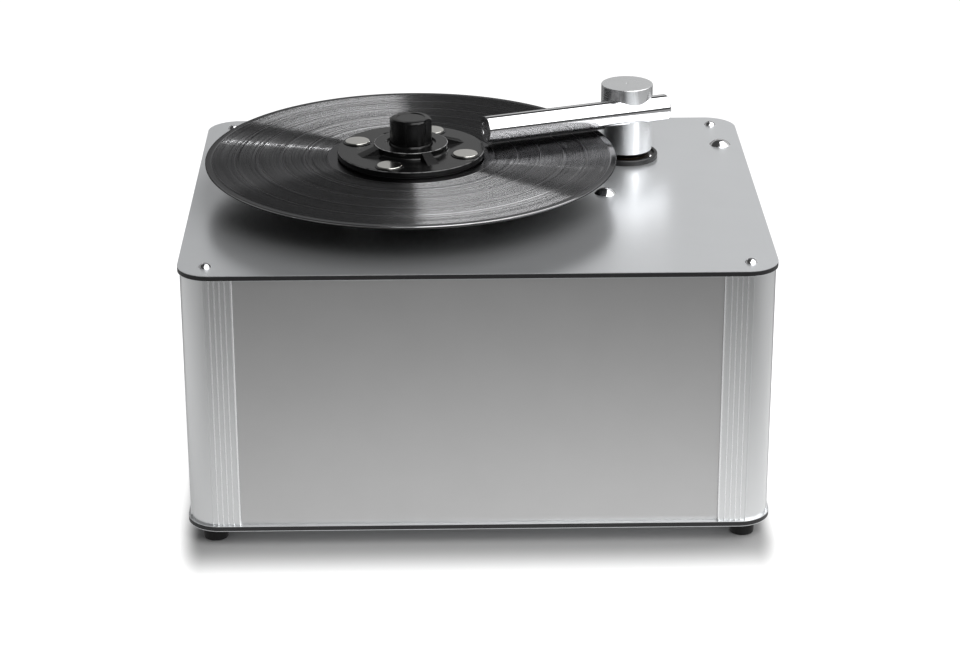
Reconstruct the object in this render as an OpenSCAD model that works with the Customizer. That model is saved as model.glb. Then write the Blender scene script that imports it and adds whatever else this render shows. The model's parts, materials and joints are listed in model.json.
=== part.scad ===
// Record cleaning machine: an aluminium casing with a motor-driven label-size platter, a record
// clamp with magnets, and a swinging suction arm above a waste tank and a vacuum turbine.
// Millimetres, +Z up. The origin is on the floor under the middle of the whole footprint.
// X runs to the right seen from the front, and Y runs from the front to the back.

/* [Casing] */
// Width of the top and bottom plates
case_w = 415; // [405:1:440]
// Depth of the top and bottom plates
case_d = 337; // [325:1:360]
// Height of the walls between the two plates
side_h = 186.3; // [172:0.1:220]
// Thickness of each plate, which is a black core between two aluminium skins
plate_t = 4; // [3:0.5:6]
// Thickness of each aluminium skin on a plate
skin_t = 0.45; // [0.3:0.05:0.8]
// Radius of the plates' corners
corner_r = 23.5; // [21:0.5:26]
// How far the plates stand out past the walls
overhang = 2; // [1:0.5:4]
// Corner screws, measured in from the plates' side edges
screw_in_x = 19.5; // [18:0.5:22]
// Corner screws, measured in from the plates' front and rear edges
screw_in_y = 18; // [17:0.5:21]

/* [Corner profiles] */
// Width of one leg of a corner profile
leg_w = 36.9; // [34:0.1:42]
// Wall of a corner profile
wall_t = 2.4; // [2:0.1:3]
// Number of ribs on each leg
rib_count = 5; // [3:1:6]
// Distance between two ribs
rib_pitch = 3.65; // [3.2:0.05:4]
// Last rib to the inner edge of the leg
rib_edge = 5.3; // [4:0.1:6]
// Width of a rib's flat top
rib_w = 0.7; // [0.5:0.1:1]
// Height of a rib
rib_h = 0.55; // [0.3:0.05:0.8]
// Depth of the groove that holds a wall panel
groove_d = 7; // [5:0.5:8]
// Radius of the boss that takes the corner screws
boss_r = 4.2; // [3.8:0.1:5]

/* [Wall panels] */
// Thickness of a wall panel
panel_t = 2.5; // [2:0.1:3]
// How far a panel lies behind the profile's face
panel_recess = 1.4; // [1.2:0.1:2]

/* [Feet and screws] */
// Diameter of a rubber foot
foot_d = 18; // [16:0.5:22]
// Height of a rubber foot
foot_h = 12; // [10:0.5:18]
// Radius of the corner screws' shank
screw_r = 2; // [1.5:0.1:2.5]
// Radius of the corner screws' head
screw_head_r = 4.3; // [4:0.1:5]
// Diameter of the polished heads of the three tank bolts
tank_head_d = 16; // [14:0.5:18]

/* [Record and platter] */
// Spindle, distance to the left of the arm post
spindle_left = 163.3; // [160:0.1:170]
// Spindle, distance in front of the arm post
spindle_front = 75.3; // [70:0.1:80]
// Height of the record's top above the deck
record_top = 28; // [24:0.5:36]
// Radius of the record
record_r = 150.8; // [148:0.1:152]
// Thickness of the record at its rim and its label
record_t = 2.1; // [1.6:0.1:2.6]
// Width of the plain band at the record's rim
rim_w = 4.5; // [3:0.5:7]
// Radius of the paper labels
label_r = 50; // [48:0.5:51]
// Radius of the spindle where it holds the record
pin_r = 3.55; // [3.4:0.05:3.6]
// Radius of the platter
platter_r = 51; // [40:0.5:54]
// Thickness of the platter's disc
platter_t = 5; // [4:0.5:7]
// Thickness of the rubber mat
mat_t = 1.5; // [1:0.1:2.5]

/* [Clamp] */
// Radius of the clamp's disc
clamp_r = 54; // [50:0.5:57]
// Height of the disc's top above the record
clamp_h = 5.4; // [4.5:0.1:7]
// Radius of the raised hub
hub_r = 27.1; // [25:0.1:29]
// Height of the hub above the disc
hub_h = 5.1; // [4:0.1:7]
// Radius of the knob
knob_r = 15.4; // [13:0.1:17]
// Height of the knob above the hub
knob_h = 19; // [14:0.5:24]
// Depth of the four thumb scallops in the knob
scallop_d = 2.6; // [1.5:0.1:3]
// Direction of the first scallop
scallop_dir = 59; // [50:1:68]
// Radius of a magnet
magnet_r = 9.05; // [8:0.05:9.5]
// Magnets, distance from the spindle
magnet_ring = 42.5; // [41:0.1:43]
// Direction of the first magnet
magnet_dir = -21; // [-30:1:-15]
// Direction of the first fin between hub and disc
fin_dir = 24; // [18:1:30]
// Radius where the fins run out on the disc
fin_reach = 41; // [36:0.5:46]
// Width of a fin
fin_w = 9.5; // [6:0.5:11]

/* [Suction arm] */
// Arm post, distance in from the plates' right edge
arm_in_x = 91; // [86:0.5:96]
// Arm post, distance in from the plates' rear edge
arm_in_y = 93.2; // [90:0.1:100]
// Radius of the arm post
post_r = 19.45; // [18:0.05:21]
// Height of the post above the top of the tube
post_rise = 8.4; // [6:0.1:14]
// Gap between the base ring and the raised post
post_gap = 3; // [2.5:0.1:5]
// Outer radius of the suction tube
tube_r = 9.8; // [9:0.1:11]
// Wall of the suction tube
tube_wall = 2; // [1.6:0.1:2.5]
// Direction of the tube, from its open end to the post
tube_dir = 19.9; // [17:0.1:23]
// Distance of the tube's axis in front of the post's axis
tube_shift = 12; // [10:0.1:13]
// Length of the tube past the post's axis
tube_tail = 27.5; // [24:0.5:32]
// Gap between the raised tube and the record
tube_gap = 2; // [1.8:0.1:4]
// Gap between the tube's open end and the clamp's disc
clamp_gap = 5.6; // [4:0.1:8]
// Radius of the black ring round the foot of the post
ring_r = 24; // [23:0.5:27]
// Height of the black ring
ring_h = 3.9; // [3.4:0.1:5]
// Width of the suction slot
slot_w = 2.6; // [2:0.1:3.2]
// How far the velvet pads stand out below the tube
pad_proud = 0.5; // [0.3:0.1:0.7]
// How far the arm goes down onto the record
arm_travel = 1.2; // [0.8:0.1:1.2]
// Wire radius of the lifting spring
spring_wire_r = 0.8; // [0.6:0.05:0.9]
// Turns of the lifting spring
spring_turns = 7; // [5:1:7]

/* [Turntable drive] */
// Radius of the spindle in its bushes
shaft_r = 5; // [4:0.5:6]
// Radius of the bearing housing below the deck
bearing_r = 13; // [12:0.5:15]
// Length of the bearing housing below the deck
bearing_len = 46; // [40:1:52]
// Radius of the gearbox
gearbox_r = 18.5; // [17:0.5:20]
// Height of the gearbox
gearbox_h = 24; // [20:1:28]
// Length of the motor can
motor_h = 46; // [38:1:50]

/* [Suction unit] */
// Radius of the waste tank
tank_r = 71; // [64:0.5:78]
// Height of the waste tank
tank_h = 104; // [80:1:115]
// Tank's axis, distance to the left of the arm post
tank_left = 4.5; // [4:0.1:5]
// Tank's axis, distance in front of the arm post
tank_front = 0.4; // [0:0.1:1]
// Radius of the circle of the three tank bolts
tank_bolt_ring = 83.6; // [82:0.1:85]
// Direction of the first tank bolt
tank_bolt_dir = 18.8; // [15:0.1:22]
// Height of the rubber bushes between deck and tank
tank_bush_h = 14; // [10:1:20]
// Turbine, distance in from the plates' left edge
turbine_in_x = 82.5; // [78:0.5:90]
// Radius of the turbine housing
turbine_r = 58; // [54:0.5:60]
// Height of the turbine housing
turbine_h = 40; // [36:1:44]
// Height of the turbine's motor
turbine_motor_h = 44; // [38:1:48]
// Number of blades on the turbine fan
blade_count = 9; // [7:1:12]
// Outer radius of the suction hose
hose_r = 16; // [14:0.5:17]

/* [Rear fittings] */
// Height of the switches and the mains inlet above the inner floor
fittings_z = 45; // [38:1:60]
// Mains inlet, distance to the right of the casing's middle
inlet_x = 25; // [15:1:32]
// Distance from switch to switch
switch_pitch = 25; // [22:1:30]
// Outer radius of the drain spigot
spigot_r = 6; // [5:0.5:7]
// How far the drain cap stands out from the rear panel
drain_reach = 16; // [14:0.5:20]
// Exhaust slots in the rear panel
exhaust_slots = 7; // [5:1:9]

/* [Hidden] */
$fn = 96;

// Clearances: a fixed fit, a running fit, a loose hole and a rest gap between touching pieces
fit = 0.03;
run = 0.05;
loose = 0.3;
touch = 0.05;

// Colours
aluminium = [0.72, 0.73, 0.74];
bright = [0.85, 0.86, 0.87];
black = [0.07, 0.07, 0.08];
soft_black = [0.11, 0.11, 0.12];
bronze = [0.66, 0.49, 0.26];
steel = [0.6, 0.61, 0.63];
grey = [0.42, 0.43, 0.45];

// Heights
floor_z = foot_h + plate_t;
under_z = floor_z + side_h;
deck_z = under_z + plate_t;
record_z = deck_z + record_top;

// Casing outline
casing_w = case_w - 2 * overhang;
casing_d = case_d - 2 * overhang;
wall_r = corner_r - overhang;
slip = 0.15;
rear_face = casing_d / 2 - panel_recess;
case_y = -(drain_reach - overhang - panel_recess) / 2;
boss_at = [screw_in_x - overhang, screw_in_y - overhang];
screw_len = 18;
lip_back = panel_recess + panel_t + slip + 1.5;
rib_first = leg_w - rib_edge - (rib_count - 1) * rib_pitch;
corner_at = [case_w / 2 - screw_in_x, case_d / 2 - screw_in_y];

// Axes of the arm, the spindle and the turbine, from the casing's middle
arm_x = case_w / 2 - arm_in_x;
arm_y = case_d / 2 - arm_in_y;
spindle_x = arm_x - spindle_left;
spindle_y = arm_y - spindle_front;
turbine_x = turbine_in_x - case_w / 2;
turbine_y = arm_y - tank_front;

// Platter stack
mat_z = record_z - record_t;
platter_z = mat_z - mat_t;
label_t = 0.15;
flange_t = 3.5;
flange_r = 26;
flange_screw_ring = 20.5;
bush_flange_t = 1;
hub_floor = deck_z + flange_t + bush_flange_t + 2 * touch;
pin_top = record_z + 11;
bearing_z = deck_z - bearing_len;
socket_h = 16;
gearbox_z = bearing_z - 30;
motor_z = gearbox_z - gearbox_h;
out_shaft_r = 3;

// Clamp
disc_z = record_z + clamp_h;
hub_z = disc_z + hub_h;
well_r = knob_r + 3;
well_d = 1.3;
seal_t = 2;

// Arm
tube_z = record_z + tube_gap + tube_r;
tube_u = [cos(tube_dir), sin(tube_dir)];
spindle_along = spindle_left * tube_u[0] + spindle_front * tube_u[1];
tube_front = spindle_along - clamp_r - clamp_gap;
post_z = deck_z + ring_h + post_gap;
post_top = tube_z + tube_r + post_rise;
ring_floor = deck_z + ring_h - 1.5;
ring_screw_ring = 19.1;
ring_screw_dir = -20;
guide_r = 15;
guide_len = 56;
sleeve_r = 12;
rod_r = 9;
rod_bore = 6.5;
sleeve_flange_r = 17;
sleeve_flange_t = 1.4;
sleeve_len = 52;
rod_len = 58;
sleeve_top = ring_floor + touch + sleeve_flange_t;
chamber_r = 13.4;
chamber_top = tube_z - tube_r - 8;
spring_r = 11.2;
pad_flat = 0.9;
slot_start = 5;
slot_end = record_r - clamp_r - clamp_gap + 3;

// Tank and turbine
tank_at = [arm_x - tank_left, turbine_y];
lid_t = 3;
lid_z = under_z - tank_bush_h - lid_t;
tank_wall = 2.5;
tank_z = lid_z - tank_h;
lug_r = 8;
bolt_r = 3;
port_z = lid_z - 24;
hose_wall = 2.5;
port_r = hose_r - hose_wall;
port_wall = 2;
hose_bend = 24;
mount_h = 8;
turbine_z = floor_z + mount_h + turbine_motor_h;
turbine_wall = 2.5;
turbine_motor_r = 44;
turbine_spigot = 10;
duct_w = 50;
duct_h = turbine_h - 12;
fan_r = turbine_r - 10;
fan_shaft_r = 4;

// Rear fittings
inlet_w = 27.2;
inlet_h = 32.6;
inlet_depth = 24;
socket_drop = 6;
socket_w = 24.8;
socket_t = 16.8;
socket_d = 17;
switch_w = 14;
switch_h = 20.4;
switch_depth = 16;
rocker_half = 8.3;
rocker_w = 11.6;
rocker_tilt = 11;
pivot_r = 1;
spigot_z = tank_z + 14;

// Moves children onto the casing's middle, the spindle, the arm post or the turbine
module in_case() {
    translate([0, case_y, 0]) children();
}
module at_spindle(z = 0) {
    translate([spindle_x, case_y + spindle_y, z]) children();
}
module at_arm(z = 0) {
    translate([arm_x, case_y + arm_y, z]) children();
}
module at_tank(z = 0) {
    translate([tank_at[0], case_y + tank_at[1], z]) children();
}
module at_turbine(z = 0) {
    translate([turbine_x, case_y + turbine_y, z]) children();
}
module at_rear(x, z) {
    translate([x, case_y + rear_face, z]) children();
}

// Copies of children round the Z axis
module around(count, radius, first = 0) {
    for (i = [0 : count - 1])
        rotate(first + i * 360 / count)
            translate([radius, 0, 0]) children();
}

// Copies of children at the four corner screws
module at_corners() {
    for (sx = [-1, 1], sy = [-1, 1])
        translate([sx * corner_at[0], sy * corner_at[1], 0]) children();
}

module pipe(r, bore, h) {
    difference() {
        cylinder(r = r, h = h);
        translate([0, 0, -1]) cylinder(r = bore, h = h + 2);
    }
}

// Disc with a chamfered top edge
module chamfered_disc(r, h, edge) {
    rotate_extrude()
        polygon([[0, 0], [r, 0], [r, h - edge], [r - edge, h], [0, h]]);
}

// Spherical screw head on z = 0, with a cross recess when cross is not zero
module dome_head(r, h, cross = 0) {
    ball = (r * r + h * h) / (2 * h);
    difference() {
        intersection() {
            translate([0, 0, h - ball]) sphere(ball);
            cylinder(r = r + 1, h = h + 1);
        }
        if (cross > 0)
            for (a = [0, 90])
                rotate(a)
                    translate([-cross / 2, -cross / 8, h * 0.45]) cube([cross, cross / 4, h]);
    }
}

// A round pipe along points whose legs run along X, Y or Z, with round bends
function unit_step(a, b) = (b - a) / norm(b - a);
module along(start, axis) {
    side = [axis[1], axis[2], axis[0]];
    third = cross(axis, side);
    multmatrix([
        [side[0], third[0], axis[0], start[0]],
        [side[1], third[1], axis[1], start[1]],
        [side[2], third[2], axis[2], start[2]]
    ]) children();
}
module pipe_route(points, r, bend) {
    last = len(points) - 1;
    for (i = [0 : last - 1]) {
        dir = unit_step(points[i], points[i + 1]);
        cut_a = i == 0 ? 0 : bend;
        cut_b = i == last - 1 ? 0 : bend;
        along(points[i] + dir * cut_a, dir)
            cylinder(r = r, h = norm(points[i + 1] - points[i]) - cut_a - cut_b);
    }
    for (i = [1 : 1 : last - 1]) {
        a = unit_step(points[i - 1], points[i]);
        b = unit_step(points[i], points[i + 1]);
        centre = points[i] - a * bend + b * bend;
        n = cross(a, b);
        multmatrix([
            [-b[0], a[0], n[0], centre[0]],
            [-b[1], a[1], n[1], centre[1]],
            [-b[2], a[2], n[2], centre[2]]
        ]) rotate_extrude(angle = 90) translate([bend, 0]) circle(r);
    }
}

// Casing plates
module rounded_rect(w, d, r) {
    square([w - 2 * r, d], center = true);
    square([w, d - 2 * r], center = true);
    for (sx = [-1, 1], sy = [-1, 1])
        translate([sx * (w / 2 - r), sy * (d / 2 - r)]) circle(r);
}
module plate_slab(z, t) {
    in_case()
        translate([0, 0, z])
            linear_extrude(t) rounded_rect(case_w, case_d, corner_r);
}
module corner_holes(z) {
    in_case()
        at_corners()
            translate([0, 0, z - 1]) cylinder(r = screw_r + loose, h = plate_t + 2);
}
module deck_holes() {
    corner_holes(under_z);
    at_spindle(under_z - 1) cylinder(r = bearing_r + loose, h = plate_t + 2);
    at_arm(under_z - 1) cylinder(r = guide_r + loose, h = plate_t + 2);
    at_tank(under_z - 1)
        around(3, tank_bolt_ring, tank_bolt_dir) cylinder(r = bolt_r + loose, h = plate_t + 2);
}
module skin_pair(z) {
    plate_slab(z, skin_t);
    plate_slab(z + plate_t - skin_t, skin_t);
}
module top_plate_skins() {
    color(aluminium)
        difference() {
            skin_pair(under_z);
            deck_holes();
        }
}
module top_plate_core() {
    color(black)
        difference() {
            plate_slab(under_z + skin_t, plate_t - 2 * skin_t);
            deck_holes();
        }
}
module bottom_plate_skins() {
    color(aluminium)
        difference() {
            skin_pair(foot_h);
            corner_holes(foot_h);
        }
}
module bottom_plate_core() {
    color(black)
        difference() {
            plate_slab(foot_h + skin_t, plate_t - 2 * skin_t);
            corner_holes(foot_h);
        }
}

// Corner profile, drawn with the casing's outer corner at the origin and both legs positive
function outer_face(s) = s < wall_r ? wall_r - sqrt(pow(wall_r, 2) - pow(wall_r - s, 2)) : 0;
module rib(s) {
    translate([s, outer_face(s)])
        polygon([
            [-rib_w / 2 - rib_h / 2, wall_t / 3], [-rib_w / 2, -rib_h],
            [rib_w / 2, -rib_h], [rib_w / 2 + rib_h / 2, wall_t / 3]
        ]);
}
module profile_leg() {
    translate([wall_r, 0]) square([leg_w - wall_r, wall_t]);
    translate([leg_w - groove_d - wall_t, 0]) square([groove_d + wall_t, lip_back]);
    for (i = [0 : rib_count - 1]) rib(rib_first + i * rib_pitch);
    rib(leg_w - rib_w / 2 - rib_h / 2);
}
module profile_groove() {
    translate([leg_w - groove_d, panel_recess - slip]) square([groove_d + 1, panel_t + 2 * slip]);
}
module profile_outline() {
    difference() {
        union() {
            intersection() {
                translate([wall_r, wall_r])
                    difference() {
                        circle(wall_r);
                        circle(wall_r - wall_t);
                    }
                square(wall_r);
            }
            profile_leg();
            mirror([1, -1]) profile_leg();
            translate(boss_at) circle(boss_r);
            translate([boss_at[0] - wall_t / 2, wall_t / 2]) square([wall_t, boss_at[1]]);
            translate([wall_t / 2, boss_at[1] - wall_t / 2]) square([boss_at[0], wall_t]);
        }
        profile_groove();
        mirror([1, -1]) profile_groove();
        translate(boss_at) circle(screw_r + touch);
    }
}
module corner_profile(flip_x, flip_y) {
    color(bright)
        in_case()
            mirror([flip_x, 0, 0]) mirror([0, flip_y, 0])
                translate([-casing_w / 2, -casing_d / 2, floor_z])
                    linear_extrude(side_h) profile_outline();
}
module corner_front_left() {
    corner_profile(0, 0);
}
module corner_front_right() {
    corner_profile(1, 0);
}
module corner_rear_left() {
    corner_profile(0, 1);
}
module corner_rear_right() {
    corner_profile(1, 1);
}

// Wall panels, which slide into the profiles' grooves
panel_in = leg_w - groove_d + slip;
front_len = casing_w - 2 * panel_in;
side_len = casing_d - 2 * panel_in;
module front_panel() {
    color(aluminium)
        in_case()
            translate([-front_len / 2, -rear_face, floor_z]) cube([front_len, panel_t, side_h]);
}
module side_panel(flip) {
    color(aluminium)
        in_case()
            mirror([flip, 0, 0])
                translate([-casing_w / 2 + panel_recess, -side_len / 2, floor_z])
                    cube([panel_t, side_len, side_h]);
}
module left_panel() {
    side_panel(0);
}
module right_panel() {
    side_panel(1);
}
// Heights and places of what goes through the rear panel
fittings_at = floor_z + fittings_z;
switch_xs = [for (i = [1 : 3]) inlet_x - 10 - i * switch_pitch];
exhaust_z = turbine_z + turbine_h / 2;
slot_pitch = 6;
exhaust_slot_w = 3;
exhaust_slot_h = 20;
module rear_cut(x, z, w, h) {
    at_rear(x, z)
        translate([-w / 2, -panel_t - 1, -h / 2]) cube([w, panel_t + 2, h]);
}
module rear_panel() {
    color(aluminium)
        difference() {
            in_case()
                translate([-front_len / 2, rear_face - panel_t, floor_z])
                    cube([front_len, panel_t, side_h]);
            rear_cut(inlet_x, fittings_at, inlet_w + 2 * loose, inlet_h + 2 * loose);
            for (x = switch_xs) rear_cut(x, fittings_at, switch_w + 2 * loose, switch_h + 2 * loose);
            for (i = [0 : exhaust_slots - 1])
                rear_cut(turbine_x + (i - (exhaust_slots - 1) / 2) * slot_pitch, exhaust_z,
                    exhaust_slot_w, exhaust_slot_h);
            at_rear(tank_at[0], spigot_z)
                rotate([90, 0, 0])
                    translate([0, 0, -1]) cylinder(r = spigot_r + loose, h = panel_t + 2);
        }
}

// Rubber feet with a sunk screw, and the dome-head screws of the deck
foot_taper = 0.8;
foot_round = 1.2;
foot_sink_r = screw_head_r + 0.9;
foot_sink = 4.2;
module rubber_foot() {
    low_r = foot_d / 2 - foot_taper;
    rotate_extrude()
        polygon(concat(
            [[screw_r + loose, foot_h], [foot_d / 2, foot_h]],
            [for (a = [0 : 22.5 : 90])
                [low_r - foot_round * (1 - cos(a)), foot_round * (1 - sin(a))]],
            [[foot_sink_r, 0], [foot_sink_r, foot_sink], [screw_r + loose, foot_sink]]
        ));
}
module rubber_feet() {
    color(soft_black) in_case() at_corners() rubber_foot();
}
module foot_screws() {
    color(steel)
        in_case()
            at_corners() {
                translate([0, 0, foot_sink]) mirror([0, 0, 1]) dome_head(screw_head_r, 2.6, 4.4);
                translate([0, 0, foot_sink]) cylinder(r = screw_r, h = screw_len + foot_h - foot_sink);
            }
}
module deck_screws() {
    color(bright)
        in_case()
            at_corners()
                translate([0, 0, deck_z]) {
                    dome_head(screw_head_r, 2.7, 4.6);
                    translate([0, 0, -screw_len]) cylinder(r = screw_r, h = screw_len);
                }
}

// Platter, spindle and record
module platter() {
    edge = 0.8;
    hub = 16;
    rib_gap = 60;
    color(aluminium)
        at_spindle() {
            rotate_extrude()
                polygon([
                    [shaft_r + fit, hub_floor], [hub, hub_floor], [hub, platter_z - platter_t],
                    [platter_r - edge, platter_z - platter_t], [platter_r, platter_z - platter_t + edge],
                    [platter_r, platter_z - edge], [platter_r - edge, platter_z],
                    [shaft_r + fit, platter_z]
                ]);
            for (a = [0 : rib_gap : 359])
                rotate(a)
                    translate([hub - 1, 0, platter_z - platter_t])
                        rotate([90, 0, 0])
                            linear_extrude(2.4, center = true)
                                polygon([[0, 0], [platter_r - hub - 6, 0], [0, -9]]);
        }
}
module platter_mat() {
    color(soft_black)
        at_spindle(platter_z) {
            pipe(platter_r - 1, shaft_r + 1, mat_t);
        }
}
module spindle() {
    low_z = bearing_z - 2 - socket_h;
    color(steel)
        at_spindle()
            difference() {
                rotate_extrude()
                    polygon([
                        [0, low_z], [shaft_r + 2.5, low_z], [shaft_r + 2.5, bearing_z - 2],
                        [shaft_r, bearing_z - 2], [shaft_r, platter_z], [pin_r, platter_z],
                        [pin_r, pin_top - 2.5], [pin_r - 1.6, pin_top], [0, pin_top]
                    ]);
                translate([0, 0, low_z - 1]) cylinder(r = out_shaft_r + fit, h = socket_h);
            }
}
// Groove area between plain lead-in and run-out bands, with four raised gaps between tracks
module record() {
    groove_in = label_r + 11;
    groove_out = record_r - rim_w;
    sink = 0.18;
    gap_w = 0.9;
    tracks = 5;
    mid = record_t / 2;
    label_half = mid - label_t;
    half_edge = [
        [pin_r + 0.07, label_half], [label_r, label_half], [label_r + 0.4, mid],
        [label_r + 2, mid], [label_r + 2.4, mid - sink], [groove_in, mid - sink]
    ];
    step = (groove_out - groove_in) / tracks;
    gaps = [for (i = [1 : tracks - 1]) each [
        [groove_in + i * step - gap_w, mid - sink], [groove_in + i * step - gap_w / 2, mid - sink / 2],
        [groove_in + i * step + gap_w / 2, mid - sink / 2], [groove_in + i * step + gap_w, mid - sink]
    ]];
    rim = [
        [groove_out, mid - sink], [groove_out + 0.5, mid], [record_r - 0.7, mid],
        [record_r - 0.2, mid - 0.35], [record_r, mid - 0.75]
    ];
    top = concat(half_edge, gaps, rim);
    color(black)
        at_spindle(record_z - mid)
            rotate_extrude()
                polygon(concat(top, [for (i = [len(top) - 1 : -1 : 0]) [top[i][0], -top[i][1]]]));
}
module record_labels() {
    color([0.75, 0.72, 0.66])
        for (z = [mat_z, record_z - label_t])
            at_spindle(z) pipe(label_r - 0.3, pin_r + 0.2, label_t);
}

// Clamp: disc with hub, four fins and four magnets in raised rims, sealed at its rim
module fin() {
    translate([0, fin_w / 2, 0])
        rotate([90, 0, 0])
            linear_extrude(fin_w)
                polygon([
                    [well_r + 1, disc_z - 1], [well_r + 1, hub_z], [hub_r - 0.6, hub_z],
                    [fin_reach, disc_z], [fin_reach, disc_z - 1]
                ]);
}
module clamp_disc() {
    rim_r = magnet_r + 1.5;
    rim_h = 0.6;
    underside = record_z + 1;
    color(black)
        at_spindle()
            difference() {
                union() {
                    rotate_extrude()
                        polygon([
                            [pin_r + 0.07, underside], [clamp_r - 0.4, underside],
                            [clamp_r, underside + 0.4], [clamp_r, disc_z - 0.8], [clamp_r - 0.8, disc_z],
                            [hub_r + 1.6, disc_z], [hub_r + 0.5, disc_z + 0.4], [hub_r, disc_z + 1.4],
                            [hub_r, hub_z - 0.6], [hub_r - 0.6, hub_z], [pin_r + 0.07, hub_z]
                        ]);
                    around(4, 0, fin_dir) fin();
                    around(4, magnet_ring, magnet_dir)
                        translate([0, 0, disc_z - 0.5]) chamfered_disc(rim_r, rim_h + 0.5, 0.4);
                }
                translate([0, 0, hub_z - well_d]) cylinder(r = well_r, h = 5);
                around(4, magnet_ring, magnet_dir)
                    translate([0, 0, disc_z - 2.4]) cylinder(r = magnet_r + fit, h = 6);
                translate([0, 0, underside - 1]) pipe(clamp_r - 1.5, clamp_r - 13, 2);
            }
}
module clamp_seal() {
    color(soft_black)
        at_spindle(record_z + touch)
            pipe(clamp_r - 1.5 - fit, clamp_r - 13 + fit, seal_t - touch);
}
module clamp_magnets() {
    color(bright)
        at_spindle(disc_z - 2.4)
            around(4, magnet_ring, magnet_dir) chamfered_disc(magnet_r, 3.7, 0.5);
}
module clamp_knob() {
    foot = hub_z - well_d;
    cut_r = 10.5;
    cut_at = knob_r - scallop_d + cut_r;
    top = hub_z + knob_h;
    color(black)
        at_spindle()
            difference() {
                rotate_extrude()
                    polygon([
                        [0, foot], [knob_r + 0.8, foot], [knob_r, foot + 1.8], [knob_r, top - 1.6],
                        [knob_r - 0.5, top - 0.7], [knob_r - 2, top - 0.1], [knob_r - 5.5, top],
                        [knob_r - 6, top - 0.5], [0, top - 0.5]
                    ]);
                around(4, cut_at, scallop_dir)
                    translate([0, 0, foot + 2.2]) cylinder(r = cut_r, h = knob_h + 5);
                translate([0, 0, foot - 1]) cylinder(r = pin_r + 0.07, h = pin_top - foot + 2);
            }
}

// Bearing and drive under the platter
module bearing_housing() {
    color(grey)
        at_spindle()
            difference() {
                rotate_extrude()
                    polygon([
                        [shaft_r + 3, bearing_z], [bearing_r, bearing_z], [bearing_r, deck_z],
                        [flange_r, deck_z], [flange_r, deck_z + flange_t - 0.8],
                        [flange_r - 0.8, deck_z + flange_t], [shaft_r + 3, deck_z + flange_t]
                    ]);
                around(3, flange_screw_ring, 90)
                    translate([0, 0, deck_z - 1]) cylinder(r = flange_screw_r + touch, h = flange_t + 2);
            }
}
module bearing_bushes() {
    bush_h = 12;
    outer = shaft_r + 3 - fit;
    color(bronze) {
        at_spindle(bearing_z) pipe(outer, shaft_r + run, bush_h);
        at_spindle(deck_z + flange_t - bush_h) pipe(outer, shaft_r + run, bush_h);
        at_spindle(deck_z + flange_t) pipe(outer + 2, shaft_r + run, bush_flange_t);
    }
}
flange_screw_r = 1.2;
module flange_screw(reach) {
    dome_head(1.8, 1, 2);
    translate([0, 0, -reach]) cylinder(r = flange_screw_r, h = reach);
}
module flange_screws() {
    color(bright) {
        at_spindle(deck_z + flange_t)
            around(3, flange_screw_ring, 90) flange_screw(flange_t - 0.5);
        at_arm(ring_floor)
            around(3, ring_screw_ring, ring_screw_dir) flange_screw(ring_floor - deck_z - 0.3);
    }
}
module motor_bracket() {
    r = 22;
    inner = 17;
    clamp_top = bearing_z + 14;
    color(aluminium)
        at_spindle()
            difference() {
                translate([0, 0, gearbox_z]) cylinder(r = r, h = clamp_top - gearbox_z);
                translate([0, 0, gearbox_z + 3]) cylinder(r = inner, h = bearing_z - 2 - gearbox_z);
                translate([0, 0, gearbox_z - 1]) cylinder(r = 6 + loose, h = 10);
                translate([0, 0, bearing_z]) cylinder(r = bearing_r + fit, h = 30);
                translate([-r - 1, -9, gearbox_z + 6]) cube([2 * r + 2, 18, bearing_z - gearbox_z - 12]);
                translate([0, -0.8, bearing_z + 3]) cube([r + 1, 1.6, 30]);
            }
}
module drive_gearbox() {
    color(steel)
        at_spindle()
            difference() {
                union() {
                    translate([0, 0, motor_z]) chamfered_disc(gearbox_r, gearbox_h, 0.6);
                    translate([0, 0, gearbox_z - 1]) cylinder(r = 6, h = 4);
                }
                translate([0, 0, gearbox_z - 8]) cylinder(r = out_shaft_r + run, h = 20);
            }
}
module gearbox_shaft() {
    low = gearbox_z - 7.5;
    color(bright)
        at_spindle(low) cylinder(r = out_shaft_r, h = bearing_z - 5 - low);
}
module drive_motor() {
    r = gearbox_r - 1;
    color(grey)
        at_spindle(motor_z - motor_h)
            rotate_extrude()
                polygon([
                    [0, -3], [6, -3], [6, 0], [r - 1.5, 0], [r, 1.5],
                    [r, motor_h - 6], [r - 0.6, motor_h - 5], [r - 0.6, motor_h - 3], [r, motor_h - 2],
                    [r, motor_h], [0, motor_h]
                ]);
}

// Suction arm: base ring and guide tube are fixed, the sleeve turns, the rest also goes down
module arm_base_ring() {
    lip = 2.6;
    color(black)
        at_arm()
            difference() {
                rotate_extrude()
                    polygon([
                        [guide_r + fit, deck_z], [ring_r, deck_z], [ring_r, deck_z + ring_h - 0.9],
                        [ring_r - 0.9, deck_z + ring_h], [ring_r - lip, deck_z + ring_h],
                        [ring_r - lip - 0.4, ring_floor], [guide_r + fit, ring_floor]
                    ]);
                around(3, ring_screw_ring, ring_screw_dir)
                    translate([0, 0, deck_z - 1]) cylinder(r = flange_screw_r + touch, h = ring_h + 2);
            }
}
module arm_guide_tube() {
    bottom = under_z - guide_len;
    color(aluminium)
        at_arm(bottom) pipe(guide_r, sleeve_r + run, ring_floor - bottom);
}
module arm_sleeve() {
    color(bronze)
        at_arm() {
            translate([0, 0, sleeve_top - sleeve_len])
                pipe(sleeve_r, rod_r + run, sleeve_len);
            translate([0, 0, ring_floor + touch])
                pipe(sleeve_flange_r, sleeve_r - 0.5, sleeve_flange_t);
        }
}
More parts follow.
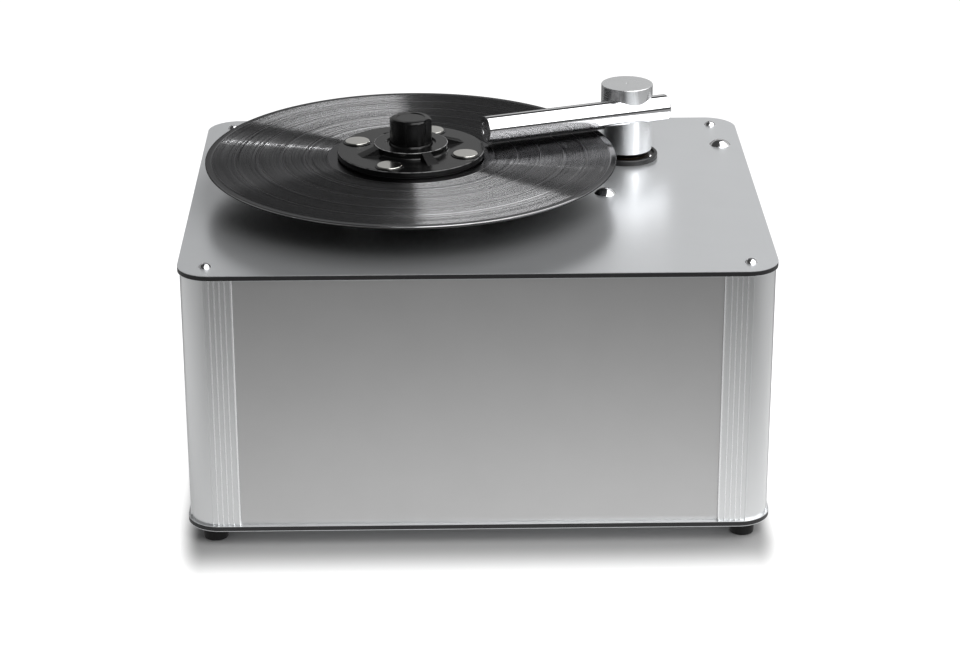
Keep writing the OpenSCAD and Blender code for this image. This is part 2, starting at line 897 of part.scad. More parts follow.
module arm_rod() {
    collar = 3;
    low = sleeve_top - rod_len;
    color(steel)
        at_arm() {
            translate([0, 0, low]) pipe(rod_r, rod_bore, chamber_top + 5 - low);
            translate([0, 0, sleeve_top - sleeve_len - touch - collar])
                pipe(rod_r + 2.4, rod_r - 0.5, collar);
        }
}
// One unbroken round wire, rising steadily from the sleeve to the roof of the post's chamber
spring_low = sleeve_top + touch + spring_wire_r;
spring_high = chamber_top - touch - spring_wire_r;
function coil_point(t, r) =
    [r * cos(360 * t * spring_turns), r * sin(360 * t * spring_turns),
        spring_low + t * (spring_high - spring_low)];
turn_gaps = [for (t = [0 : 0.01 : 1 - 1 / spring_turns])
    norm(coil_point(t + 1 / spring_turns, spring_r) - coil_point(t, spring_r))];
echo("least gap between the spring's turns", min(turn_gaps) - 2 * spring_wire_r);
module arm_spring() {
    steps = 8 * spring_turns;
    sides = 6;
    rings = [for (i = [0 : steps]) for (j = [0 : sides - 1])
        let(t = i / steps, a = 360 * j / sides)
            coil_point(t, spring_r + spring_wire_r * cos(a)) + [0, 0, spring_wire_r * sin(a)]];
    skin = [for (i = [0 : steps - 1]) for (j = [0 : sides - 1])
        let(a = i * sides + j, b = i * sides + (j + 1) % sides)
            each [[a, b + sides, b], [a, a + sides, b + sides]]];
    low_end = [for (j = [1 : sides - 2]) [0, j, j + 1]];
    high_end = [for (j = [1 : sides - 2]) [0, j + 1, j] + steps * sides * [1, 1, 1]];
    color(steel)
        at_arm() polyhedron(points = rings, faces = concat(skin, low_end, high_end));
}
// Places children in the tube's own frame: X along the tube from the post's axis to its tail
module at_tube() {
    at_arm(tube_z) rotate(tube_dir) translate([0, -tube_shift, 0]) children();
}
module along_tube(from, to, r) {
    at_tube() translate([from, 0, 0]) rotate([0, 90, 0]) cylinder(r = r, h = to - from);
}
module arm_post() {
    color(aluminium)
        difference() {
            at_arm()
                difference() {
                    rotate_extrude()
                        polygon([
                            [0, post_z], [post_r - 0.5, post_z], [post_r, post_z + 0.5],
                            [post_r, post_top - 0.6], [post_r - 0.6, post_top], [0, post_top]
                        ]);
                    translate([0, 0, post_z - 1]) cylinder(r = chamber_r, h = chamber_top - post_z + 1);
                    translate([0, 0, chamber_top - 1]) cylinder(r = rod_r + fit, h = 6);
                    translate([0, 0, chamber_top]) cylinder(r = rod_bore, h = tube_z - chamber_top);
                }
            along_tube(-post_r - 5, post_r + 5, tube_r + fit);
        }
}
module arm_tube() {
    edge = 0.7;
    color(bright)
        difference() {
            at_tube()
                rotate([0, 90, 0])
                    rotate_extrude()
                        polygon([
                            [tube_r - tube_wall, -tube_front], [tube_r - edge, -tube_front],
                            [tube_r, -tube_front + edge], [tube_r, tube_tail - edge],
                            [tube_r - edge, tube_tail], [tube_r - tube_wall, tube_tail]
                        ]);
            at_tube() {
                translate([slot_start - tube_front, -slot_w / 2, -tube_r - 1])
                    cube([slot_end - slot_start, slot_w, tube_r]);
                translate([slot_start - 2 - tube_front, -tube_r, -tube_r - 5])
                    cube([slot_end - slot_start + 4, 2 * tube_r, 5 + pad_flat]);
            }
            at_arm(chamber_top + 5) cylinder(r = rod_bore, h = tube_z - chamber_top - 5);
        }
}
module arm_plugs() {
    bore = tube_r - tube_wall - fit;
    color(bright) {
        at_tube()
            translate([-tube_front, 0, 0])
                rotate([0, 90, 0])
                    rotate_extrude()
                        polygon([
                            [0.9, 0.5], [bore - 0.8, 0.5], [bore, 1.1], [bore, 4.5], [0, 4.5],
                            [0, 2.5], [0.9, 2.5]
                        ]);
        at_tube()
            translate([tube_tail, 0, 0])
                rotate([0, 90, 0])
                    rotate_extrude()
                        polygon([[0, -5], [bore, -5], [bore, -0.3], [bore - 1.2, 0.2], [0, 0.6]]);
    }
}
module arm_pads() {
    flat_half = sqrt(pow(tube_r, 2) - pow(tube_r - pad_flat, 2)) - 0.2;
    pad_len = slot_end - slot_start + 2;
    color(soft_black)
        at_tube()
            for (side = [0, 1])
                mirror([0, side, 0])
                    translate([slot_start - 1 - tube_front, slot_w / 2 + 0.1, -tube_r - pad_proud])
                        cube([pad_len, flat_half - slot_w / 2 - 0.1, pad_flat + pad_proud - fit]);
}

// Waste tank, which hangs from the three bolts round the arm
module tank_outline(r) {
    circle(r);
    around(3, tank_bolt_ring, tank_bolt_dir) circle(lug_r);
    for (i = [0 : 2])
        rotate(tank_bolt_dir + i * 120)
            translate([0, -lug_r]) square([tank_bolt_ring, 2 * lug_r]);
}
module tank_bolt_holes() {
    around(3, tank_bolt_ring, tank_bolt_dir) circle(bolt_r + touch);
}
module tank_lid() {
    color(grey)
        difference() {
            at_tank(lid_z)
                linear_extrude(lid_t)
                    difference() {
                        tank_outline(tank_r + 3);
                        tank_bolt_holes();
                    }
            at_arm(lid_z - 1) cylinder(r = guide_r + loose, h = lid_t + 2);
        }
}
module waste_tank() {
    flange = 3;
    boss = spigot_r + 4;
    color([0.82, 0.84, 0.86])
        difference() {
            union() {
                at_tank(lid_z - flange)
                    linear_extrude(flange)
                        difference() {
                            tank_outline(tank_r + 3);
                            tank_bolt_holes();
                        }
                at_tank(tank_z) chamfer_tank(tank_r, tank_h);
                at_tank(port_z)
                    translate([-tank_r - 18, 0, 0])
                        rotate([0, 90, 0]) cylinder(r = port_r - fit, h = 30);
                at_tank(spigot_z)
                    translate([0, tank_r - 8, 0])
                        rotate([-90, 0, 0]) cylinder(r = boss, h = 14);
            }
            at_tank(tank_z + tank_wall) chamfer_tank(tank_r - tank_wall, tank_h + 5);
            at_tank(port_z)
                translate([-tank_r - 20, 0, 0])
                    rotate([0, 90, 0]) cylinder(r = port_r - port_wall, h = 30);
            at_tank(spigot_z)
                translate([0, tank_r - 20, 0])
                    rotate([-90, 0, 0]) cylinder(r = spigot_r + fit, h = 40);
        }
}
module chamfer_tank(r, h) {
    rotate_extrude()
        polygon([[0, 0], [r - 6, 0], [r, 6], [r, h], [0, h]]);
}
module tank_bushes() {
    color(soft_black)
        at_tank(lid_z + lid_t)
            around(3, tank_bolt_ring, tank_bolt_dir) pipe(lug_r - 0.5, bolt_r + touch, tank_bush_h);
}
module tank_bolts() {
    nut_h = 5;
    low = lid_z - 3;
    color(bright)
        at_tank()
            around(3, tank_bolt_ring, tank_bolt_dir) {
                translate([0, 0, deck_z]) dome_head(tank_head_d / 2, 3.8);
                translate([0, 0, low - nut_h - 2]) cylinder(r = bolt_r, h = deck_z - low + nut_h + 2);
                translate([0, 0, low - nut_h])
                    difference() {
                        cylinder(r = 5.8, h = nut_h, $fn = 6);
                        translate([0, 0, -1]) cylinder(r = bolt_r + fit, h = nut_h + 2, $fn = 48);
                    }
            }
}

// Vacuum turbine with its hose, fan, motor and exhaust
hose_path = [
    [tank_at[0] - tank_r - touch, case_y + turbine_y, port_z],
    [turbine_x, case_y + turbine_y, port_z],
    [turbine_x, case_y + turbine_y, turbine_z + turbine_h + touch]
];
module suction_hose() {
    color(soft_black)
        difference() {
            pipe_route(hose_path, hose_r, hose_bend);
            pipe_route(hose_path, hose_r - hose_wall, hose_bend);
        }
}
module turbine_housing() {
    duct_y = rear_face - panel_t - touch - turbine_y;
    mid = turbine_h / 2;
    wall = turbine_wall;
    color(grey)
        at_turbine(turbine_z)
            difference() {
                union() {
                    chamfered_disc(turbine_r, turbine_h, 2);
                    translate([0, 0, turbine_h - 1]) cylinder(r = port_r - fit, h = turbine_spigot + 1);
                    translate([-duct_w / 2, 0, mid - duct_h / 2]) cube([duct_w, duct_y, duct_h]);
                }
                translate([0, 0, wall]) cylinder(r = turbine_r - wall, h = turbine_h - 2 * wall);
                translate([0, 0, turbine_h - 5]) cylinder(r = port_r - port_wall, h = turbine_spigot + 6);
                translate([0, 0, -1]) cylinder(r = fan_shaft_r + 1, h = 5);
                translate([wall - duct_w / 2, 0, mid - duct_h / 2 + wall])
                    cube([duct_w - 2 * wall, duct_y + 1, duct_h - 2 * wall]);
            }
}
module turbine_fan() {
    base = turbine_wall + 2;
    blade_h = turbine_h - 2 * turbine_wall - 8;
    curve = fan_r * 0.62;
    color(steel)
        at_turbine(turbine_z) {
            translate([0, 0, base]) cylinder(r = fan_r, h = 2);
            translate([0, 0, base]) cylinder(r = 9, h = blade_h * 0.7);
            translate([0, 0, -18]) cylinder(r = fan_shaft_r, h = 18 + base + 1);
            translate([0, 0, base + 1.5])
                linear_extrude(blade_h)
                    intersection() {
                        difference() {
                            circle(fan_r - 0.5);
                            circle(port_r + 2);
                        }
                        for (i = [0 : blade_count - 1])
                            rotate(i * 360 / blade_count)
                                translate([curve, 0])
                                    difference() {
                                        circle(curve);
                                        circle(curve - 1.6);
                                        translate([-2 * curve, 0]) square([4 * curve, 2 * curve]);
                                    }
                    }
        }
}
module turbine_motor() {
    r = turbine_motor_r;
    color(soft_black)
        at_turbine(floor_z + mount_h)
            difference() {
                rotate_extrude()
                    polygon([
                        [0, 0], [r - 4, 0], [r, 4], [r, turbine_motor_h - 3], [r - 3, turbine_motor_h],
                        [0, turbine_motor_h]
                    ]);
                translate([0, 0, turbine_motor_h - 20]) cylinder(r = fan_shaft_r + run, h = 30);
                around(16, r, 0)
                    translate([-3, -1.5, turbine_motor_h / 2 - 8]) cube([6, 3, 16]);
            }
}
module turbine_mount() {
    outer = turbine_motor_r + 6;
    inner = turbine_motor_r - 18;
    color(soft_black)
        at_turbine(floor_z)
            rotate_extrude()
                polygon([
                    [inner, 0], [outer, 0], [outer, mount_h / 2], [outer - 3, mount_h],
                    [inner, mount_h]
                ]);
}

// Power board on four pillars, with transformer, relays, terminals and capacitors
board_at = [arm_x - 8, -case_d / 2 + 76];
board_size = [120, 86];
board_t = 1.6;
pillar_h = 8;
pillar_in = 6;
relay_pitch = 20;
module on_board(x, y) {
    translate([x, y, pillar_h + board_t]) children();
}
module power_board() {
    w = board_size[0] / 2;
    d = board_size[1] / 2;
    color([0.1, 0.32, 0.2])
        translate([board_at[0], case_y + board_at[1], floor_z]) {
            translate([-w, -d, pillar_h]) cube([2 * w, 2 * d, board_t]);
            for (sx = [-1, 1], sy = [-1, 1])
                translate([sx * (w - pillar_in), sy * (d - pillar_in), 0])
                    cylinder(r = 3, h = pillar_h);
            on_board(-w / 3, -30) cube([42, 36, 32]);
            for (i = [-1 : 1]) on_board(w / 2, i * relay_pitch - 10) cube([22, 12, 15]);
            on_board(-w + 6, -33) cube([9, 66, 11]);
            for (i = [-1 : 1]) on_board(i * 22 - 6, d - 16) chamfered_disc(8, 24, 1);
        }
}
module wiring_loom() {
    wire_r = 2;
    bend = 10;
    low = floor_z + 18;
    board_edge = board_at[0] - board_size[0] / 2 + 6 - touch;
    inlet_y = case_y + rear_face - inlet_depth - touch;
    motor_low = motor_z - motor_h - 3 - touch;
    lane = case_y + board_at[1];
    drive_y = case_y + spindle_y;
    color([0.25, 0.25, 0.27]) {
        pipe_route([
            [inlet_x, inlet_y, fittings_at - socket_drop],
            [inlet_x, inlet_y - inlet_depth, fittings_at - socket_drop],
            [inlet_x, inlet_y - inlet_depth, low], [inlet_x, lane + 20, low],
            [board_edge, lane + 20, low]
        ], wire_r, bend);
        pipe_route([
            [board_edge, lane + 5, low], [spindle_x, lane + 5, low],
            [spindle_x, drive_y, low], [spindle_x, drive_y, motor_low]
        ], wire_r, bend);
        pipe_route([
            [board_edge, lane - 10, low], [turbine_x, lane - 10, low],
            [turbine_x, case_y + turbine_y - turbine_motor_r - touch, low]
        ], wire_r, bend);
    }
}

// Mains inlet and the three rocker switches
module socket_shape() {
    cut = 4;
    w = socket_w / 2;
    h = socket_t / 2;
    polygon([[-w, -h], [w, -h], [w, h - cut], [w - cut, h], [cut - w, h], [-w, h - cut]]);
}
socket_at = [inlet_x, fittings_at - socket_drop];
module mains_inlet() {
    color(black)
        difference() {
            at_rear(inlet_x, fittings_at) {
                translate([-inlet_w / 2 - 2, 0, -inlet_h / 2 - 2]) cube([inlet_w + 4, 2, inlet_h + 4]);
                translate([-inlet_w / 2, -inlet_depth, -inlet_h / 2])
                    cube([inlet_w, inlet_depth + 0.5, inlet_h]);
                translate([-11, 1, 4.5]) cube([22, 2, 8]);
            }
            at_rear(socket_at[0], socket_at[1])
                translate([0, 3, 0])
                    rotate([90, 0, 0]) linear_extrude(socket_d + 3) socket_shape();
            at_rear(inlet_x, fittings_at) translate([-4, 2.2, 10.5]) cube([8, 3, 3]);
        }
}
module inlet_pins() {
    color(bright)
        at_rear(socket_at[0], socket_at[1])
            for (p = [[-7, -2], [7, -2], [0, 3]])
                translate([p[0] - 1, -socket_d, p[1] - 2]) cube([2, 13, 4]);
}
module switch_housings() {
    color(black)
        for (x = switch_xs)
            at_rear(x, fittings_at)
                difference() {
                    union() {
                        translate([-switch_w / 2 - 1.6, 0, -switch_h / 2 - 1.8])
                            cube([switch_w + 3.2, 1.8, switch_h + 3.6]);
                        translate([-switch_w / 2, -switch_depth, -switch_h / 2])
                            cube([switch_w, switch_depth + 1, switch_h]);
                    }
                    translate([-rocker_w / 2 - loose, -switch_depth + 4, -rocker_half - 1])
                        cube([rocker_w + 2 * loose, switch_depth + 4, 2 * rocker_half + 2]);
                    rotate([0, 90, 0])
                        cylinder(r = pivot_r + run, h = rocker_w + 1.8, center = true);
                }
}
// A rocker with its pivot pins, turned by tilt about its pivot
module rocker(x, tilt) {
    end_h = 3.4;
    color(soft_black)
        at_rear(x, fittings_at)
            rotate([tilt, 0, 0]) {
                translate([-rocker_w / 2, 0, 0])
                    rotate([90, 0, 90])
                        linear_extrude(rocker_w)
                            polygon([
                                [end_h, -rocker_half], [end_h - 1.2, 0], [end_h, rocker_half],
                                [-1, rocker_half], [-5, 2.5], [-5, -2.5], [-1, -rocker_half]
                            ]);
                rotate([0, 90, 0]) cylinder(r = pivot_r, h = rocker_w + 1.6, center = true);
            }
}
module mains_rocker() {
    rocker(switch_xs[0], rocker_tilt);
}
module suction_rocker() {
    rocker(switch_xs[1], rocker_tilt);
}
module direction_rocker() {
    rocker(switch_xs[2], 0);
}

// Drain: a spigot screwed into the tank through the rear panel, with a push-on cap
nut_t = 4;
module drain_spigot() {
    reach = drain_reach - 2;
    start = rear_face - tank_at[1] - tank_r + 4;
    color(bright)
        at_rear(tank_at[0], spigot_z)
            rotate([-90, 0, 0])
                difference() {
                    union() {
                        translate([0, 0, -start]) cylinder(r = spigot_r, h = start + reach);
                        cylinder(r = spigot_r + 4.5, h = nut_t, $fn = 6);
                    }
                    translate([0, 0, -start - 1])
                        cylinder(r = spigot_r - 2, h = start + reach + 2, $fn = 48);
                }
}
module drain_cap() {
    inside = drain_reach - 2 + touch;
    r = spigot_r + 3;
    color(soft_black)
        at_rear(tank_at[0], spigot_z)
            rotate([-90, 0, 0])
                difference() {
                    translate([0, 0, nut_t + touch])
                        chamfered_disc(r, drain_reach - nut_t - touch, 0.8);
                    cylinder(r = spigot_r + run, h = inside);
                    around(12, r + 0.4, 0)
                        translate([0, 0, nut_t + 3]) cylinder(r = 0.9, h = drain_reach, $fn = 16);
                }
}

top_plate_skins();
top_plate_core();
bottom_plate_skins();
bottom_plate_core();
corner_front_left();
corner_front_right();
corner_rear_left();
corner_rear_right();
front_panel();
rear_panel();
left_panel();
right_panel();
rubber_feet();
foot_screws();
deck_screws();
platter();
platter_mat();
spindle();
record();
record_labels();
clamp_disc();
clamp_seal();
clamp_knob();
clamp_magnets();
bearing_housing();
bearing_bushes();
flange_screws();
motor_bracket();
drive_gearbox();
gearbox_shaft();
drive_motor();
arm_base_ring();
arm_guide_tube();
arm_sleeve();
arm_rod();
arm_spring();
arm_post();
arm_tube();
arm_plugs();
arm_pads();
waste_tank();
tank_lid();
tank_bushes();
tank_bolts();
suction_hose();
turbine_housing();
turbine_fan();
turbine_motor();
turbine_mount();
power_board();
wiring_loom();
mains_inlet();
inlet_pins();
switch_housings();
mains_rocker();
suction_rocker();
direction_rocker();
drain_spigot();
drain_cap();
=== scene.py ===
"""Looks of a record cleaning machine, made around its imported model.

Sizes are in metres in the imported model's frame, with +Z up. Each sub-assembly is a class that
builds its pieces from its own sizes and the frame's, and dresses them. The inner works keep
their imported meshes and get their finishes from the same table.
"""

from __future__ import annotations

import json
import logging
import math
from collections.abc import Iterable, Sequence
from dataclasses import dataclass
from enum import Enum

import bmesh
import bpy
from mathutils import Matrix, Vector


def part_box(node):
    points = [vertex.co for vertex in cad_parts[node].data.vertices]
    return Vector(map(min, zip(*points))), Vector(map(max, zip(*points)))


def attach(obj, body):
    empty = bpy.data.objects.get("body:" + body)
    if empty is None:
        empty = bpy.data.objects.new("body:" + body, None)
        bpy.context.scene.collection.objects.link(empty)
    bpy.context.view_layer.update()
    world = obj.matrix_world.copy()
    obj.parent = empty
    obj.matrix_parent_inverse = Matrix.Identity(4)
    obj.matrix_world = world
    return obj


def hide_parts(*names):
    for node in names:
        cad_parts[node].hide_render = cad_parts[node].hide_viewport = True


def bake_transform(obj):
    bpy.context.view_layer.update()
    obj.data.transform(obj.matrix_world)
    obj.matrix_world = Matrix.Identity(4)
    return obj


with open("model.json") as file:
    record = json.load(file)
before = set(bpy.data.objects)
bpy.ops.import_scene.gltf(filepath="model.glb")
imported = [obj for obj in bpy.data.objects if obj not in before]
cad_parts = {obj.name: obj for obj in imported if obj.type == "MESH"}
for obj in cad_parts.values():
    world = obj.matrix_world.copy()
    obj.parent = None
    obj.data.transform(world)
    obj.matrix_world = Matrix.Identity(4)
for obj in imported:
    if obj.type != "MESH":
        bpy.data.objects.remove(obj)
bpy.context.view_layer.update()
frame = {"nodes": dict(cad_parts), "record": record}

MM = 0.001

# Points nearer than this are one point, and faces nearer than this angle in degrees are flat.
WELD = 0.001 * MM
FLAT_ANGLE = 0.5
# How strongly a weighted normal leans on large faces.
FACE_WEIGHT = 90
# Least height of a tank bolt, which tells it from its nut.
BOLT_LEAST = 20 * MM
# Bore for the spindle, and the gap between two pieces that fit closely.
SPINDLE_BORE = 3.62 * MM
FIT = 0.03 * MM

LOG = logging.getLogger("record_cleaner")

Point = tuple[float, float]
Colour = tuple[float, float, float]
Constant = tuple[str, float | tuple[float, ...]]


class Body(Enum):
    """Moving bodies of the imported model."""

    CASE = "case"
    PLATTER = "platter_assembly"
    CLAMP = "clamp"
    ARM_TURN = "arm_turn"
    ARM = "arm"
    MAINS = "mains_switch"
    SUCTION = "suction_switch"
    DIRECTION = "direction_switch"
    CAP = "cap"


class Slot(Enum):
    """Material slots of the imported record."""

    SKIN = "aluminium_skin"
    CORE = "plate_core"
    PROFILE = "profile_aluminium"
    PANEL = "panel_aluminium"
    FOOT = "foot_rubber"
    SCREW = "screw_steel"
    STEEL = "dark_steel"
    VINYL = "vinyl"
    LABEL = "label_paper"
    CLAMP = "clamp_black"
    MAGNET = "magnet_nickel"
    SEAL = "seal_rubber"
    CAST = "cast_grey"
    BRONZE = "bush_bronze"
    ARM = "arm_aluminium"
    TUBE = "tube_polished"
    PLUG = "plug_polished"
    VELVET = "velvet"
    RING = "ring_black"
    TANK = "tank_plastic"
    HOUSING = "housing_plastic"
    HOSE = "hose_rubber"
    BOARD = "board_green"
    WIRE = "wire_sleeve"
    FITTING = "fitting_black"
    ROCKER = "rocker_black"
    SPIGOT = "spigot_nickel"


class Value:
    """A shader value, with which Python expressions can calculate."""

    def __init__(self, graph: Graph, socket: bpy.types.NodeSocket) -> None:
        """Keeps the graph and the output socket that holds the value."""
        self.graph = graph
        self.socket = socket

    def maths(self, operation: str, *values: Value | float) -> Value:
        """The result of one Math node on the values."""
        return self.graph.node("Math", {"operation": operation}, dict(enumerate(values)))

    def __add__(self, other: Value | float) -> Value:
        """Sum."""
        return self.maths("ADD", self, other)

    def __sub__(self, other: Value | float) -> Value:
        """Difference."""
        return self.maths("SUBTRACT", self, other)

    def __rsub__(self, other: Value | float) -> Value:
        """Difference from a number."""
        return self.maths("SUBTRACT", other, self)

    def __mul__(self, other: Value | float) -> Value:
        """Product."""
        return self.maths("MULTIPLY", self, other)

    def __truediv__(self, other: Value | float) -> Value:
        """Quotient."""
        return self.maths("DIVIDE", self, other)

    def __pow__(self, other: Value | float) -> Value:
        """Power."""
        return self.maths("POWER", self, other)

    def __gt__(self, other: Value | float) -> Value:
        """1 where this value is the greater, else 0."""
        return self.maths("GREATER_THAN", self, other)

    def __lt__(self, other: Value | float) -> Value:
        """1 where this value is the smaller, else 0."""
        return self.maths("LESS_THAN", self, other)

    def __abs__(self) -> Value:
        """Size without sign."""
        return self.maths("ABSOLUTE", self)

    def __floor__(self) -> Value:
        """Whole part."""
        return self.maths("FLOOR", self)

    __radd__ = __add__
    __rmul__ = __mul__

    def at_least(self, other: Value | float) -> Value:
        """The greater of this value and another."""
        return self.maths("MAXIMUM", self, other)

    def faded(self, start: float, end: float) -> Value:
        """A smooth step from 0 at start to 1 at end.

        Args:
            start: Value where the step begins.
            end: Value where the step ends.

        Returns:
            The step.
        """
        sockets = {"Value": self, "From Min": start, "From Max": end}
        return self.graph.node("MapRange", {"interpolation_type": "SMOOTHSTEP"}, sockets)


class Graph:
    """The node tree of a material or of the world."""

    def __init__(self, tree: bpy.types.NodeTree) -> None:
        """Empties the tree."""
        self.tree = tree
        tree.nodes.clear()

    def node(
        self,
        kind: str,
        settings: dict[str, object] | None = None,
        sockets: dict[str | int, object] | None = None,
        output: str | int = 0,
    ) -> Value:
        """Adds a node.

        Args:
            kind: The node's type, without its ShaderNode prefix.
            settings: The node's own settings, which are set first.
            sockets: A value or a link for each input, by name or number.
            output: The output that is wanted.

        Returns:
            The wanted output.
        """
        made = self.tree.nodes.new("ShaderNode" + kind)
        for name, value in (settings or {}).items():
            setattr(made, name, value)
        for name, value in (sockets or {}).items():
            if isinstance(value, Value):
                self.tree.links.new(value.socket, made.inputs[name])
            else:
                made.inputs[name].default_value = value
        return Value(self, made.outputs[output] if made.outputs else None)

    def place(
        self, scale: Sequence[float] = (1, 1, 1), centre: Sequence[float] = (0, 0, 0)
    ) -> Value:
        """Object coordinates, centred on a point and then scaled.

        Args:
            scale: Factor along each axis.
            centre: Point that becomes the origin.

        Returns:
            The coordinates.
        """
        shift = [-c * s for c, s in zip(centre, scale)]
        here = self.node("TexCoord", output="Object")
        return self.node("Mapping", {}, {"Vector": here, "Location": shift, "Scale": scale})

    def noise(
        self, where: Value, scale: float, detail: float = 2.0, roughness: float = 0.5
    ) -> Value:
        """Smooth noise between 0 and 1.

        Args:
            where: Coordinates.
            scale: Spots per metre.
            detail: Number of finer layers.
            roughness: Share of the finer layers.

        Returns:
            The noise.
        """
        sockets = {"Vector": where, "Scale": scale, "Detail": detail, "Roughness": roughness}
        return self.node("TexNoise", {}, sockets)

    def rings(self, radius: Value, scale: float) -> Value:
        """Noise between 0 and 1 that changes with a radius alone."""
        return self.node("TexNoise", {"noise_dimensions": "1D"}, {"W": radius, "Scale": scale})

    def axis_values(self, where: Value) -> tuple[Value, Value, Value]:
        """The X, Y and Z of a vector.

        Args:
            where: The vector.

        Returns:
            Its three values.
        """
        split = self.node("SeparateXYZ", {}, {0: where}).socket.node
        return tuple(Value(self, output) for output in split.outputs)

    def vector(self, operation: str, *values: Value | Sequence[float]) -> Value:
        """The result of one Vector Math node."""
        return self.node("VectorMath", {"operation": operation}, dict(enumerate(values)))

    def tint(self, low: Colour, high: Colour, factor: Value) -> Value:
        """A colour between two others.

        Args:
            low: Colour at 0.
            high: Colour at 1.
            factor: Where between the two.

        Returns:
            The mixed colour.
        """
        sockets = {0: factor, 6: (*low, 1.0), 7: (*high, 1.0)}
        return self.node("Mix", {"data_type": "RGBA"}, sockets, 2)

    def bump(self, height: Value, relief: float) -> Value:
        """A normal that follows a height between 0 and 1.

        Args:
            height: The height.
            relief: Real height of 1.

        Returns:
            The normal.
        """
        return self.node("Bump", {}, {"Height": height, "Distance": relief, "Strength": 1.0})


def shade(colour: Colour, factor: float) -> Colour:
    """A colour made lighter or darker by a factor."""
    return tuple(min(1.0, c * factor) for c in colour)


@dataclass(frozen=True)
class Finish:
    """A moulded, cast or blasted surface with a fine grain.

    Attributes:
        colour: Mean colour, linear.
        roughness: Mean roughness.
        metallic: 1 on bare metal.
        grain: Grains per metre along X, Y and Z.
        relief: Height of the grain.
        uneven: Share by which colour and roughness wander.
        constants: Values for the shader's own sockets.
        clouds: Soft spots per metre in that wandering.
        cloud_share: Share of the spots in it, with the grain for the rest.
    """

    colour: Colour
    roughness: float
    metallic: float = 0.0
    grain: Sequence[float] = (1800.0, 1800.0, 1800.0)
    relief: float = 0.01 * MM
    uneven: float = 0.12
    constants: tuple[Constant, ...] = ()
    clouds: float = 30.0
    cloud_share: float = 0.7

    def grains(self, graph: Graph) -> Value:
        """The grain's height, from 0 to 1."""
        return graph.noise(graph.place(self.grain), 1.0, 3.0)

    def surface(self, graph: Graph) -> dict[str, Value]:
        """What changes over the surface.

        Args:
            graph: The material's node tree.

        Returns:
            A value for each shader socket that isn't the same all over.
        """
        grains = self.grains(graph)
        wander = graph.noise(graph.place(), self.clouds, 3.0) * self.cloud_share
        wander = wander + grains * (1 - self.cloud_share)
        low, high = 1 - self.uneven, 1 + self.uneven
        return {
            "Base Color": graph.tint(shade(self.colour, low), shade(self.colour, high), wander),
            "Roughness": wander * (2 * self.uneven * self.roughness) + low * self.roughness,
            "Normal": graph.bump(grains, self.relief),
        }

    def material(self, name: str) -> bpy.types.Material:
        """The finish's material, which is made once.

        Args:
            name: The material's name.

        Returns:
            The material.
        """
        known = bpy.data.materials.get("finish_" + name)
        if known:
            return known
        made = bpy.data.materials.new("finish_" + name)
        made.use_nodes = True
        graph = Graph(made.node_tree)
        sockets = {"Metallic": self.metallic} | dict(self.constants) | self.surface(graph)
        shader = graph.node("BsdfPrincipled", {}, sockets)
        graph.node("OutputMaterial", {}, {"Surface": shader})
        return made


@dataclass(frozen=True)
class TurnedFinish(Finish):
    """Metal turned on a lathe, with fine tool marks round an axis.

    Attributes:
        node: CAD node whose middle the axis passes through.
        marks: Tool marks per metre of radius.
    """

    node: str = "arm_post"
    marks: float = 2600.0

    def grains(self, graph: Graph) -> Value:
        """Rings round the axis, and the same along it.

        Args:
            graph: The material's node tree.

        Returns:
            The tool marks' height, from 0 to 1.
        """
        centre = Box.of(self.node).centre
        x, y, z = graph.axis_values(graph.place(centre=centre))
        return graph.rings((x * x + y * y) ** 0.5 + z, self.marks)


@dataclass(frozen=True)
class RibbedFinish(Finish):
    """A drawn profile whose ribs' crests carry a painted highlight, with painted shade between
    them.

    Attributes:
        first: CAD node at the lowest corner of the profiles.
        last: CAD node at the highest corner of the profiles.
        crest: How far a crest reaches down from the outermost face.
        crest_light: Share by which crests are painted lighter, as a highlight, and the rest darker,
            as shade.
        polish: How much smoother a crest is.
    """

    first: str = "corner_front_left"
    last: str = "corner_rear_right"
    crest: float = 0.4 * MM
    crest_light: float = 0.1
    polish: float = 0.08

    def surface(self, graph: Graph) -> dict[str, Value]:
        """The drawn surface, with painted highlights on the ribs' crests and painted shade on the
        rest; crests are smoother too.

        Args:
            graph: The material's node tree.

        Returns:
            A value for each shader socket that isn't the same all over.
        """
        values = super().surface(graph)
        low, high = Box.of(self.first).low, Box.of(self.last).high
        middle, reach = (low + high) / 2, (high - low) / 2
        x, y, _ = graph.axis_values(graph.place(centre=middle))
        across = (abs(x) - (reach.x - self.crest)).faded(0.0, self.crest / 2)
        along = (abs(y) - (reach.y - self.crest)).faded(0.0, self.crest / 2)
        crest = across.at_least(along)
        # Painted highlight on the crests, and painted shade on the faces between them.
        bright = shade(self.colour, 1 + self.crest_light)
        values["Base Color"] = graph.tint(shade(self.colour, 1 - self.crest_light), bright, crest)
        values["Roughness"] = values["Roughness"] - crest * self.polish
        return values


